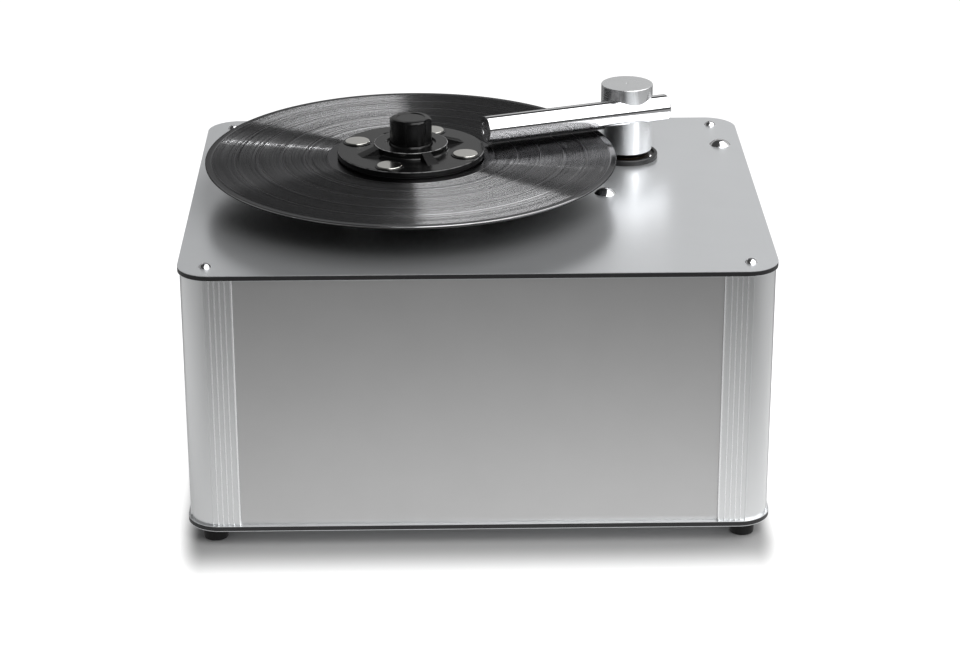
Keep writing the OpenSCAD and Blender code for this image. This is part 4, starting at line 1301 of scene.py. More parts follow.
@dataclass(frozen=True)
class Turntable:
    """The record on its platter, and the bearing's flange on the deck.

    Attributes:
        label_r: Radius of the labels' bed.
        label_t: Thickness of a label.
        label_hole: Radius of a label's hole.
        hole_r: Radius of the record's hole.
        bed_slope: Width of the slope up from the labels' bed.
        bead_r: Outer radius of the raised bead round the label.
        bead_slope: Width of the slope down from the bead.
        groove_in: Radius where the grooves end.
        rim_w: Width of the plain band at the rim.
        rim_steps: The rim's rise, as widths from the grooves and depths below the top.
        nose: Rounding of the rim.
        sink: Depth of the playing area below the rim.
        gap: Half width of the plain ring between two tracks.
        tracks: Number of tracks.
        flange_screw: A screw of the flanges.
        flange_turn: How much further each of these screws is turned, in degrees.
        edge: Rounding of the turned pieces' edges.
    """

    label_r: float = 50.0 * MM
    label_t: float = 0.15 * MM
    label_hole: float = 3.75 * MM
    hole_r: float = SPINDLE_BORE
    bed_slope: float = 0.3 * MM
    bead_r: float = 52.0 * MM
    bead_slope: float = 0.5 * MM
    groove_in: float = 61.0 * MM
    rim_w: float = 4.5 * MM
    rim_steps: tuple[Point, ...] = ((0.6 * MM, 0.03 * MM), (1.2 * MM, 0.0))
    nose: float = 0.7 * MM
    sink: float = 0.18 * MM
    gap: float = 0.25 * MM
    tracks: int = 5
    flange_screw: DomeScrew = DomeScrew(1.8 * MM, 1.0 * MM, 1.2 * MM, 2.1 * MM, 2.2 * MM)
    flange_turn: float = 50.0
    edge: float = 0.2 * MM

    def build(self) -> None:
        """Builds every piece of the turntable that shows."""
        self.record()
        self.labels()
        self.platter()
        self.bearing()

    def record(self) -> None:
        """Builds the record, with a bead round its label and a thicker rim."""
        box = Box.of("record")
        mid, rim = box.size.z / 2, box.radius
        floor = mid - self.sink
        outer = rim - self.rim_w
        top = [
            (self.hole_r, mid - self.label_t), (self.label_r, mid - self.label_t),
            (self.label_r + self.bed_slope, mid), (self.bead_r, mid),
            (self.bead_r + self.bead_slope, floor), (self.groove_in, floor),
        ]
        step = (outer - self.groove_in) / self.tracks
        for i in range(1, self.tracks):
            at = self.groove_in + i * step
            top += [
                (at - 2 * self.gap, floor), (at - self.gap, floor + self.sink / 6),
                (at + self.gap, floor + self.sink / 6), (at + 2 * self.gap, floor),
            ]
        top += [(outer, floor)] + [(outer + out, mid - down) for out, down in self.rim_steps]
        top += arc((rim - self.nose, mid - self.nose), self.nose, 90, 10, 8)
        profile = top + [(r, -z) for r, z in reversed(top)]
        record = Shape.turned(profile, 300).placed(Matrix.Translation(box.centre))
        record.piece("vinyl_record", Slot.VINYL, Body.PLATTER, "record", angle=5)

    def labels(self) -> None:
        """Builds the two plain labels."""
        box = Box.of("record_labels")
        hole, rim, thick = self.label_hole, box.radius, self.label_t
        label = Shape.turned([(hole, 0), (rim, 0), (rim, thick), (hole, thick)], 128)
        heights = (box.low.z, box.high.z - self.label_t)
        pair = label.copies(box.at(z) for z in heights)
        pair.piece("plain_labels", Slot.LABEL, Body.PLATTER, "record_labels")

    def platter(self) -> None:
        """Builds the platter, its mat and the spindle from copies of their solids."""
        for node, slot, name in (
            ("platter", Slot.CAST, "ribbed_platter"),
            ("platter_mat", Slot.SEAL, "rubber_mat"),
            ("spindle", Slot.STEEL, "platter_spindle"),
        ):
            copy = Shape.eased(node, self.edge)
            copy.piece(name, slot, Body.PLATTER, node)

    def bearing(self) -> None:
        """Builds the bearing's housing, and the screws of all the flanges."""
        housing = Shape.eased("bearing_housing", self.edge)
        housing.piece("spindle_bearing", Slot.CAST, Body.CASE, "bearing_housing")
        heads = solids("flange_screws")
        head_h = self.flange_screw.head_h
        screw = self.flange_screw.shape()
        places = []
        for i, box in enumerate(heads):
            turn = Matrix.Rotation(math.radians(self.flange_turn * i), 4, "Z")
            places.append(box.at(box.high.z - head_h) @ turn)
        screw.copies(places).piece("flange_dome_screws", Slot.SCREW, Body.CASE, "flange_screws")


@dataclass(frozen=True)
class Clamp:
    """The record clamp: a disc with hub, fins and magnets, its seal and its knob.

    Attributes:
        disc_h: Height of the disc's top above the record.
        hub_r: Radius of the hub.
        well_r: Radius of the well round the knob.
        well_d: Depth of that well.
        fins: Number of fins, magnets and scallops.
        fin_dir: Direction of the first fin.
        fin_w: Width of a fin.
        fin_draft: Share of its width that a fin keeps at the hub's top.
        fin_reach: Radius where the fins run out.
        magnet_dir: Direction of the first magnet.
        magnet_ring: Distance of the magnets from the spindle.
        rim_w: Width of the raised rim round a magnet.
        rim_h: Height of that rim.
        pocket: Depth of a magnet's pocket.
        knob_r: Radius of the knob.
        scallop_r: Radius of a scallop.
        scallop_d: Depth of a scallop.
        scallop_dir: Direction of the first scallop.
        collar_h: Height of the round collar under the scallops.
        fillet: Rounding between the disc and the hub.
        brow: Rounding of the hub's top.
        rim_round: Rounding of the disc's top edge.
        foot_edge: Bevel of the disc's bottom edge.
        fin_start: How far a fin begins outside the well.
        fin_sunk: How deep a fin's foot lies in the disc.
        fin_edge: Rounding of a fin's edges.
        rim_sunk: How deep the foot of a magnet's rim lies in the disc.
        crown: Rounding of a magnet's rim.
        magnet_gap: Gap round a magnet in its pocket.
        magnet_edge: Rounding of a magnet's edge.
        well_slope: How much wider the well's wall is at its top.
        clear: How far the well's cutting tool stands out of the hub.
        clear_high: How far the pockets' cutting tools stand out of the disc.
        seal_edge: Rounding of the seal's edges.
        knob_flare: The knob's foot, as widths past its radius and heights.
        knob_crown: The knob's top, as distances inside its radius and depths.
        knob_bore: Depth of the knob's bore for the spindle.
        scallop_edge: Rounding of a scallop's ends.
    """

    disc_h: float = 5.4 * MM
    hub_r: float = 27.1 * MM
    well_r: float = 18.4 * MM
    well_d: float = 1.3 * MM
    fins: int = 4
    fin_dir: float = 24.0
    fin_w: float = 9.5 * MM
    fin_draft: float = 0.72
    fin_reach: float = 41.0 * MM
    magnet_dir: float = -21.0
    magnet_ring: float = 42.5 * MM
    rim_w: float = 1.5 * MM
    rim_h: float = 0.6 * MM
    pocket: float = 2.4 * MM
    knob_r: float = 15.4 * MM
    scallop_r: float = 10.5 * MM
    scallop_d: float = 2.6 * MM
    scallop_dir: float = 59.0
    collar_h: float = 2.2 * MM
    fillet: float = 1.6 * MM
    brow: float = 0.6 * MM
    rim_round: float = 0.8 * MM
    foot_edge: float = 0.4 * MM
    fin_start: float = 1.0 * MM
    fin_sunk: float = 1.0 * MM
    fin_edge: float = 0.25 * MM
    rim_sunk: float = 0.5 * MM
    crown: float = 0.4 * MM
    magnet_gap: float = 0.12 * MM
    magnet_edge: float = 0.5 * MM
    well_slope: float = 0.3 * MM
    clear: float = 3.0 * MM
    clear_high: float = 5.0 * MM
    seal_edge: float = 0.3 * MM
    knob_flare: tuple[Point, ...] = ((0.8 * MM, 0.0), (0.6 * MM, 0.8 * MM), (0.0, 1.8 * MM))
    knob_crown: tuple[Point, ...] = (
        (0.0, 2.2 * MM), (0.4 * MM, 1.2 * MM), (1.2 * MM, 0.5 * MM), (2.4 * MM, 0.15 * MM),
        (5 * MM, 0.0), (5.4 * MM, 0.5 * MM),
    )
    knob_bore: float = 12.0 * MM
    scallop_edge: float = 0.4 * MM

    def build(self) -> None:
        """Builds the four pieces of the clamp."""
        self.disc()
        self.magnets()
        self.seal()
        self.knob()

    def around(self, first: float, radius: float, z: float = 0.0) -> list[Matrix]:
        """Places round the spindle's axis.

        Args:
            first: First direction in degrees.
            radius: Distance from the axis.
            z: Height.

        Returns:
            A matrix for each place.
        """
        turns = [math.radians(first + i * 360 / self.fins) for i in range(self.fins)]
        return [Matrix.Rotation(turn, 4, "Z") @ moved(radius, 0, z) for turn in turns]

    def disc(self) -> None:
        """Builds the disc with its hub, fins and magnet rims."""
        box = Box.of("clamp_disc")
        bottom, hub_top = box.low.z, box.high.z
        top = Box.of("record").high.z + self.disc_h
        edge, bevel = box.radius, self.foot_edge
        fillet = arc((self.hub_r + self.fillet, top + self.fillet), self.fillet, 270, 180, 6)
        brow = shoulder((self.hub_r, hub_top), self.brow)
        rim = shoulder((edge, top), self.rim_round, 6)
        disc = Shape.turned([
            (SPINDLE_BORE, bottom), (edge - bevel, bottom), (edge, bottom + bevel),
            *rim, *fillet, *brow, (SPINDLE_BORE, hub_top),
        ], 180)
        disc.carved(self.fin(top, hub_top).copies(self.around(self.fin_dir, 0)), "UNION")
        magnet_r = solids("clamp_magnets")[0].radius
        places = self.around(self.magnet_dir, self.magnet_ring, top)
        outer, foot = magnet_r + self.rim_w, -self.rim_sunk
        crown = shoulder((outer, self.rim_h), self.crown, 4)
        raised = Shape.turned([(0, foot), (outer, foot), *crown, (0, self.rim_h)], 72)
        disc.carved(raised.copies(places), "UNION")
        hollow, high = magnet_r + self.magnet_gap, self.clear_high
        pocket = [(0, -self.pocket), (hollow, -self.pocket), (hollow, high), (0, high)]
        disc.carved(Shape.turned(pocket, 72).copies(places))
        floor, over = hub_top - self.well_d, hub_top + self.clear
        well = [(0, floor), (self.well_r, floor), (self.well_r + self.well_slope, over), (0, over)]
        disc.carved(Shape.turned(well, 120))
        disc.placed(box.at(0))
        disc.piece("clamp_body", Slot.CLAMP, Body.CLAMP, "clamp_disc", angle=25)

    def fin(self, top: float, hub_top: float) -> Shape:
        """A fin that runs down from the hub to the disc.

        Args:
            top: Height of the disc's top.
            hub_top: Height of the hub's top.

        Returns:
            The fin, along +X.
        """
        start, foot = self.well_r + self.fin_start, top - self.fin_sunk
        fin = Shape.pressed([
            (start, foot), (self.fin_reach, foot), (self.fin_reach, top),
            (self.hub_r - self.brow, hub_top), (start, hub_top),
        ], self.fin_w)
        fin.placed(moved(0, self.fin_w / 2, 0) @ Matrix.Rotation(math.pi / 2, 4, "X"))
        fin.drawn((1, self.fin_draft, 1), hub_top - WELD, hub_top + WELD)
        return fin.softened(self.fin_edge, angle=15)

    def magnets(self) -> None:
        """Builds the four magnets."""
        box = Box.of("clamp_magnets")
        radius, height = solids("clamp_magnets")[0].radius, box.size.z
        crown = shoulder((radius, height), self.magnet_edge)
        magnet = Shape.turned([(0, 0), (radius, 0), *crown, (0, height)])
        group = magnet.copies(self.around(self.magnet_dir, self.magnet_ring, box.low.z))
        group.placed(box.at(0))
        group.piece("nickel_magnets", Slot.MAGNET, Body.CLAMP, "clamp_magnets")

    def seal(self) -> None:
        """Builds the rubber seal under the disc's rim."""
        seal = Shape.eased("clamp_seal", self.seal_edge)
        seal.piece("rubber_seal", Slot.SEAL, Body.CLAMP, "clamp_seal")

    def knob(self) -> None:
        """Builds the knob with four thumb scallops."""
        box = Box.of("clamp_knob")
        foot, top = box.low.z, box.high.z
        r, tip, floor = self.knob_r, WELD, self.knob_crown[-1][1]
        roof = foot + self.knob_bore
        body = Shape.turned([
            (SPINDLE_BORE, foot), *((r + out, foot + up) for out, up in self.knob_flare),
            *((r - back, top - down) for back, down in self.knob_crown),
            (tip, top - floor), (tip, roof), (SPINDLE_BORE, roof),
        ], 144)
        reach = r - self.scallop_d + self.scallop_r
        tall = top - foot
        thumb = Shape.pressed(circle((0, 0), self.scallop_r, 96), tall)
        thumb.softened(self.scallop_edge, 3)
        scallops = thumb.copies(self.around(self.scallop_dir, reach, foot + self.collar_h))
        body.carved(scallops)
        body.placed(box.at(0))
        body.piece("clamp_handle", Slot.CLAMP, Body.CLAMP, "clamp_knob", angle=25)


@dataclass(frozen=True)
class SuctionArm:
    """The arm: base ring, guide and sleeve, and the post with its tube, plugs, pads and spring.

    Attributes:
        direction: Direction of the tube, in degrees.
        shift: Distance of the tube's axis in front of the post's axis.
        tail: Length of the tube past the post's axis.
        clamp_gap: Gap between the tube's open end and the clamp.
        wall: Wall of the tube.
        near_round: Rounding of the tube's open end.
        far_round: Rounding of the tube's tail.
        slot_w: Width of the suction slot.
        slot_in: Slot's start, from the tube's open end.
        pad_flat: Depth of the flat that carries the pads.
        seam: Gap between the tube and the post's cross hole.
        chamber_r: Radius of the spring's chamber in the post.
        roof: Height of the chamber's roof below the tube.
        rod_r: Radius of the lifting rod.
        lip: Width of the base ring's raised lip.
        step: Depth of the base ring's floor below its lip.
        wire_r: Radius of the spring's wire.
        spring_r: Radius of the spring.
        turns: Turns of the spring.
        turn_steps: Stretches on each turn.
        wire_sides: Sides of the wire.
        ring_edge: Rounding of the base ring's outer edge.
        lip_edge: Rounding and draft of its lip, inside.
        inner_edge: Rounding of the guide's, the sleeve's and the rod's edges.
        post_edge: Rounding of the post's edges.
        dimple: Radius and depth of the dimple in the post's top.
        socket: Height of the rod's socket above the chamber's roof.
        overlap: How far a cutting tool stands out of what it cuts.
        flat_more: How much longer the flat is than the slot, at each end.
        dish: The open end's plug, as distances inside its radius and depths.
        dish_hole: The hole in its middle, as radii and depths.
        dish_end: Depth of that plug's inner end.
        dome_ball: Radius of the tail plug's crown.
        dome_high: Height of that crown past the tube's end.
        dome_side: Width of the flat round the crown.
        dome_low: Depth of the crown's edge in the tube.
        dome_end: Depth of that plug's inner end.
        pad_edge: Rounding of the pads.
        pad_fill: How full a pad is; not used.
    """

    direction: float = 19.9
    shift: float = 12.0 * MM
    tail: float = 27.5 * MM
    clamp_gap: float = 5.6 * MM
    wall: float = 2.0 * MM
    near_round: float = 0.5 * MM
    far_round: float = 1.1 * MM
    slot_w: float = 2.6 * MM
    slot_in: float = 5.0 * MM
    pad_flat: float = 0.9 * MM
    seam: float = 0.1 * MM
    chamber_r: float = 13.4 * MM
    roof: float = 8.0 * MM
    rod_r: float = 9.0 * MM
    lip: float = 2.6 * MM
    step: float = 1.5 * MM
    wire_r: float = 0.8 * MM
    spring_r: float = 11.2 * MM
    turns: int = 7
    turn_steps: int = 32
    wire_sides: int = 12
    ring_edge: float = 0.9 * MM
    lip_edge: float = 0.3 * MM
    inner_edge: float = 0.2 * MM
    post_edge: float = 0.5 * MM
    dimple: Point = (0.9 * MM, 0.5 * MM)
    socket: float = 5.0 * MM
    overlap: float = 1.0 * MM
    flat_more: float = 2.0 * MM
    dish: tuple[Point, ...] = ((1.2 * MM, 0.5 * MM), (0.5 * MM, 0.6 * MM), (0.0, 1.1 * MM))
    dish_hole: tuple[Point, ...] = (
        (0.0, 2.5 * MM), (0.9 * MM, 2.5 * MM), (0.9 * MM, 0.7 * MM), (1.1 * MM, 0.5 * MM),
    )
    dish_end: float = 4.5 * MM
    dome_ball: float = 50.0 * MM
    dome_high: float = 0.6 * MM
    dome_side: float = 1.0 * MM
    dome_low: float = 0.3 * MM
    dome_end: float = 5.0 * MM
    pad_edge: float = 0.4 * MM
    pad_fill: float = 0.9

    @property
    def axis(self) -> Vector:
        """A point on the post's axis, at the middle of the tube."""
        post, tube = Box.of("arm_post").centre, Box.of("arm_tube").centre
        return Vector((post.x, post.y, tube.z))

    @property
    def tube_r(self) -> float:
        """Radius of the tube."""
        return Box.of("arm_tube").size.z / 2

    @property
    def front(self) -> float:
        """Length of the tube from its open end to the post's axis.

        Returns:
            The length.
        """
        spindle = Box.of("record").centre
        angle, apart = math.radians(self.direction), self.axis - spindle
        along = apart.x * math.cos(angle) + apart.y * math.sin(angle)
        return along - Box.of("clamp_disc").radius - self.clamp_gap

    @property
    def along_tube(self) -> Matrix:
        """Turns a piece about Z into one about the tube's axis, with the post's axis at 0.

        Returns:
            The transform.
        """
        turn = Matrix.Rotation(math.radians(self.direction), 4, "Z")
        lay = Matrix.Rotation(math.pi / 2, 4, "Y")
        return Matrix.Translation(self.axis) @ turn @ moved(0, -self.shift, 0) @ lay

    def build(self) -> None:
        """Builds every piece of the arm."""
        self.ring()
        self.guides()
        self.post()
        self.tube()
        self.plugs()
        self.pads()
        self.spring()

    def ring(self) -> None:
        """Builds the black ring on the deck."""
        box = Box.of("arm_base_ring")
        r, h, bore = box.radius, box.size.z, Box.of("arm_guide_tube").radius + FIT
        edge, small = shoulder((r, h), self.ring_edge, 6), self.lip_edge
        inner = arc((r - self.lip + small, h - small), small, 90, 180, 4)
        floor = h - self.step
        ring = Shape.turned([
            (bore, 0), (r, 0), *edge, *inner, (r - self.lip - small, floor), (bore, floor),
        ], 128)
        ring.placed(box.at(box.low.z))
        ring.piece("base_ring", Slot.RING, Body.CASE, "arm_base_ring")

    def guides(self) -> None:
        """Builds the guide tube, the turning sleeve and the lifting rod."""
        for node, name, slot, body in (
            ("arm_guide_tube", "guide_tube", Slot.ARM, Body.CASE),
            ("arm_sleeve", "turning_sleeve", Slot.BRONZE, Body.ARM_TURN),
            ("arm_rod", "lifting_rod", Slot.STEEL, Body.ARM),
        ):
            copy = Shape.eased(node, self.inner_edge)
            copy.piece(name, slot, body, node)

    def post(self) -> None:
        """Builds the turned post, with the tube's cross hole and the spring's chamber."""
        box = Box.of("arm_post")
        r, low, high = box.radius, box.low.z, box.high.z
        roof = self.axis.z - self.tube_r - self.roof
        edge, (dimple_r, dimple_d) = self.post_edge, self.dimple
        foot = arc((r - edge, low + edge), edge, 270, 360, 5)
        brow = shoulder((r, high), edge)
        dimple = [(dimple_r, high), (0, high - dimple_d)]
        post = Shape.turned([
            (0, roof), (self.chamber_r, roof), (self.chamber_r, low), *foot, *brow, *dimple,
        ], 160)
        post.placed(box.at(0))
        length, wide = 3 * r, self.tube_r + self.seam
        bore = Shape.turned([(0, 0), (wide, 0), (wide, length), (0, length)], 128)
        post.carved(bore.placed(self.along_tube @ moved(0, 0, -length / 2)))
        wide, below, above = self.rod_r + FIT, -self.overlap, self.socket
        socket = Shape.turned([(0, below), (wide, below), (wide, above), (0, above)], 96)
        post.carved(socket.placed(box.at(roof)))
        post.piece("turned_post", Slot.ARM, Body.ARM, "arm_post", angle=25)

    def tube(self) -> None:
        """Builds the polished tube with its slot and the flat for the pads."""
        r, bore = self.tube_r, self.tube_r - self.wall
        near_r = self.near_round
        near = arc((r - near_r, near_r - self.front), near_r, 270, 360, 5)
        far = shoulder((r, self.tail), self.far_round, 6)
        tube = Shape.turned([(bore, -self.front), *near, *far, (bore, self.tail)], 160)
        pads = Box.of("arm_pads").size
        length = math.hypot(pads.x, pads.y) - self.flat_more
        start = self.slot_in - self.front
        end = start + length
        deep = self.wall + 3 * self.overlap
        slot = Box(
            Vector((r - deep, -self.slot_w / 2, start)),
            Vector((r + self.overlap, self.slot_w / 2, end)),
        )
        flat = Box(
            Vector((r - self.pad_flat, -r, start - self.flat_more)),
            Vector((r + deep, r, end + self.flat_more)),
        )
        tube.carved(Shape.block(slot)).carved(Shape.block(flat)).placed(self.along_tube)
        tube.piece("suction_tube", Slot.TUBE, Body.ARM, "arm_tube", angle=25)

    def plugs(self) -> None:
        """Builds the dished plug at the open end and the domed one at the tail."""
        r = self.tube_r - self.wall - FIT
        dish = Shape.turned([
            *self.dish_hole, *((r - back, down) for back, down in self.dish),
            (r, self.dish_end), (0, self.dish_end),
        ])
        dish.placed(moved(0, 0, -self.front))
        ball = self.dome_ball
        reach = math.degrees(math.asin((r - self.dome_side) / ball))
        crown = arc((0, self.dome_high - ball), ball, 90 - reach, 90, 8)
        dome = Shape.turned([(0, -self.dome_end), (r, -self.dome_end), (r, -self.dome_low), *crown])
        dome.placed(moved(0, 0, self.tail))
        plugs = dish.add(dome).placed(self.along_tube)
        plugs.piece("tube_plugs", Slot.PLUG, Body.ARM, "arm_plugs")

    def pads(self) -> None:
        """Builds the two velvet strips beside the slot."""
        pads = Shape.eased("arm_pads", self.pad_edge, 3)
        strips = pads.piece("velvet_strips", Slot.VELVET, Body.ARM, "arm_pads")

    def spring(self) -> None:
        """Builds the lifting spring at rest and takes it off the arm's body; in the machine the arm
        presses it together as it goes down.
        """
        box = Box.of("arm_spring")
        low, high = box.low.z + self.wire_r, box.high.z - self.wire_r
        steps = self.turn_steps * self.turns
        shape = Shape()
        lay = moved(self.spring_r, 0, low) @ Matrix.Rotation(math.pi / 2, 4, "X")
        ring = bmesh.ops.create_circle(
            shape.bm, segments=self.wire_sides, radius=self.wire_r, matrix=lay
        )["verts"]
        rim = shape.bm.edges[:]
        end = bmesh.ops.spin(
            shape.bm, geom=ring + rim, axis=(0, 0, 1), cent=(0, 0, 0),
            dvec=(0, 0, (high - low) / steps), angle=2 * math.pi * self.turns, steps=steps,
        )["geom_last"]
        for loop in (rim, [item for item in end if isinstance(item, bmesh.types.BMEdge)]):
            bmesh.ops.edgeloop_fill(shape.bm, edges=loop)
        shape.merged().placed(box.at(0))
        spring = shape.piece("lifting_spring", Slot.STEEL, Body.ARM, "arm_spring")
        spring.parent = None
        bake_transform(spring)


@dataclass(frozen=True)
class TankBolts:
    """The polished bolts that hang the tank from the deck.

    Attributes:
        head_r: Radius of a bolt's head.
        head_h: Height of the head.
        shank_r: Radius of the shank.
        nut_r: Radius of a nut's corners.
        nut_edge: Rounding of a nut's edges.
    """

    head_r: float = 8.0 * MM
    head_h: float = 3.8 * MM
    shank_r: float = 3.0 * MM
    nut_r: float = 5.8 * MM
    nut_edge: float = 0.4 * MM

    def build(self) -> None:
        """Builds the three bolts and their nuts as one piece."""
        deck = Box.of("top_plate_skins").high.z
        found = solids("tank_bolts")
        bolts = [box for box in found if box.size.z > BOLT_LEAST]
        nuts = [box for box in found if box.size.z <= BOLT_LEAST]
        length = deck - bolts[0].low.z
        head = DomeScrew(self.head_r, self.head_h, self.shank_r, length).shape()
        group = head.copies(box.at(deck) for box in bolts)
        bore = circle((0, 0), self.shank_r + FIT, 48)
        nut = Shape.pressed(circle((0, 0), self.nut_r, 6), nuts[0].size.z, [bore])
        nut.softened(self.nut_edge, angle=40)
        group.add(nut.copies(box.at(box.low.z) for box in nuts))
        group.piece("polished_bolts", Slot.SCREW, Body.CASE, "tank_bolts")


@dataclass(frozen=True)
class RearFittings:
    """What shows at the rear: mains inlet, switches and drain.

    Attributes:
        edge: Rounding of the fittings' edges.
        fine: Rounding of small edges.
    """

    edge: float = 0.4 * MM
    fine: float = 0.2 * MM

    def build(self) -> None:
        """Builds the fittings from copies of their solids, with rounded edges."""
        for node, name, slot, body, edge in (
            ("mains_inlet", "inlet_housing", Slot.FITTING, Body.CASE, self.edge),
            ("inlet_pins", "contact_pins", Slot.SPIGOT, Body.CASE, self.edge),
            ("switch_housings", "switch_bezels", Slot.FITTING, Body.CASE, self.fine),
            ("mains_rocker", "mains_key", Slot.ROCKER, Body.MAINS, self.edge),
            ("suction_rocker", "suction_key", Slot.ROCKER, Body.SUCTION, self.edge),
            ("direction_rocker", "direction_key", Slot.ROCKER, Body.DIRECTION, self.edge),
            ("drain_spigot", "drain_outlet", Slot.SPIGOT, Body.CASE, self.fine),
            ("drain_cap", "drain_stopper", Slot.FOOT, Body.CAP, self.fine),
        ):
            copy = Shape.eased(node, edge, angle=40)
            copy.piece(name, slot, body, node)


@dataclass(frozen=True)
class InnerWorks:
    """The pieces inside the casing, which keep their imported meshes."""

    def build(self) -> None:
        """Gives every CAD node that is still shown the finish of its slot."""
        for part in frame["record"]["subparts"]:
            node, slot = frame["nodes"][part["node"]], Slot(part["material_slot"])
            if node.hide_render:
                continue
            finish = FINISHES[slot].material(slot.value)
            if not node.material_slots:
                node.data.materials.append(finish)
            for place in node.material_slots:
                place.material = finish
            LOG.info("%s keeps its packed mesh, slot %s", part["node"], slot.value)


@dataclass(frozen=True)
class SoftBox:
    """A rectangular studio lamp.

    Attributes:
        name: The lamp's name.
        at: Its middle.
        aim: Point that it faces.
        width: Its width.
        height: Its height.
        watts: Its power.
        turn: Turn about its own axis, in degrees.
        spread: Angle of its beam, in degrees.
    """

    name: str
    at: tuple[float, float, float]
    aim: tuple[float, float, float]
    width: float
    height: float
    watts: float
    turn: float = 0.0
    spread: float = 180.0

    def build(self) -> None:
        """Hangs the lamp."""
        lamp = bpy.data.lights.new(self.name, "AREA")
        lamp.shape = "RECTANGLE"
        lamp.size, lamp.size_y = self.width, self.height
        lamp.energy = self.watts
        lamp.spread = math.radians(self.spread)
        made = bpy.data.objects.new(self.name, lamp)
        look = Vector(self.aim) - Vector(self.at)
        facing = look.to_track_quat("-Z", "Y").to_matrix().to_4x4()
        turn = Matrix.Rotation(math.radians(self.turn), 4, "Z")
        made.matrix_world = Matrix.Translation(self.at) @ facing @ turn
        bpy.context.scene.collection.objects.link(made)


@dataclass(frozen=True)
class Floor:
    """A wide paper disc, white to the camera apart from soft shadows, grey in reflections.

    Attributes:
        radius: Its radius.
        near_grey: Its grey under the machine.
        far_grey: Its grey far away.
        squeeze: Weight of X against Y in that distance.
        darkens: Distances where its grey begins and ends to darken, a painted falloff of the
            studio's light away from the machine.
        full: Half the width and depth of the rectangle in which shadows are full.
        side_weight: How much more a distance beside the rectangle counts, squared.
        fade: Distances from the rectangle where shadows begin to fade and end.
        gleam: What metal sees of it near the machine.
        gleam_more: What it sees more on the right.
        gleam_at: Where that begins and ends to grow.
        left_gleam: What it sees on the far left.
        left_at: Where that begins and ends to grow, leftwards.
        right_gleam: What it sees more on the far right.
        right_at: Where that begins and ends to grow.
    """

    radius: float = 6.0
    near_grey: float = 0.32
    far_grey: float = 0.08
    squeeze: float = 0.7
    darkens: Point = (0.05, 0.95)
    full: Point = (0.195, 0.165)
    side_weight: float = 9.0
    fade: Point = (0.012, 0.075)
    gleam: float = 0.43
    gleam_more: float = 0.12
    gleam_at: Point = (-0.3, 0.3)
    left_gleam: float = 0.22
    left_at: Point = (0.25, 0.7)
    right_gleam: float = 0.24
    right_at: Point = (0.45, 0.8)

    def build(self) -> None:
        """Lays the floor."""
        shape = Shape()
        bmesh.ops.create_circle(shape.bm, cap_ends=True, segments=128, radius=self.radius)
        floor = shape.stand_in("studio_floor")
        made = bpy.data.materials.new("studio_paper")
        made.use_nodes = True
        graph = Graph(made.node_tree)
        x, y, _ = graph.axis_values(graph.place())
        # Painted shade: the paper's grey darkens with distance from the machine, standing for the
        # light falling off.
        far = ((x * x * self.squeeze + y * y) ** 0.5).faded(*self.darkens)
        paper = graph.tint((self.near_grey,) * 3, (self.far_grey,) * 3, far)
        matt = graph.node("BsdfDiffuse", {}, {"Color": paper})
        path = graph.node("LightPath").socket.node.outputs
        camera, glossy, clear = (
            Value(graph, path[name])
            for name in ("Is Camera Ray", "Is Glossy Ray", "Is Transmission Ray")
        )
        light = camera * self.white(x, y) + (glossy + clear) * self.seen(x, far)
        glow = graph.node("Emission", {}, {"Color": (1, 1, 1, 1), "Strength": light})
        both = graph.node("AddShader", {}, {0: matt, 1: glow})
        graph.node("OutputMaterial", {}, {"Surface": both})
        floor.data.materials.append(made)

    def white(self, x: Value, y: Value) -> Value:
        """The white that hides all but the shadow near the machine.

        Args:
            x: Place across.
            y: Place along.

        Returns:
            0 where shadows are full, and 1 where nothing of them shows.
        """
        beside = (abs(x) - self.full[0]).at_least(0)
        before = (abs(y) - self.full[1]).at_least(0)
        away = (beside * beside * self.side_weight + before * before) ** 0.5
        return away.faded(*self.fade)

    def seen(self, x: Value, far: Value) -> Value:
        """What metal sees of the floor.

        Args:
            x: Place across.
            far: 0 under the machine, and 1 far away.

        Returns:
            The strength of its light.
        """
        gleam = x.faded(*self.gleam_at) * self.gleam_more + self.gleam
        near = (1 - far) * gleam + x.faded(*self.right_at) * self.right_gleam
        return near + (0 - x).faded(*self.left_at) * self.left_gleam


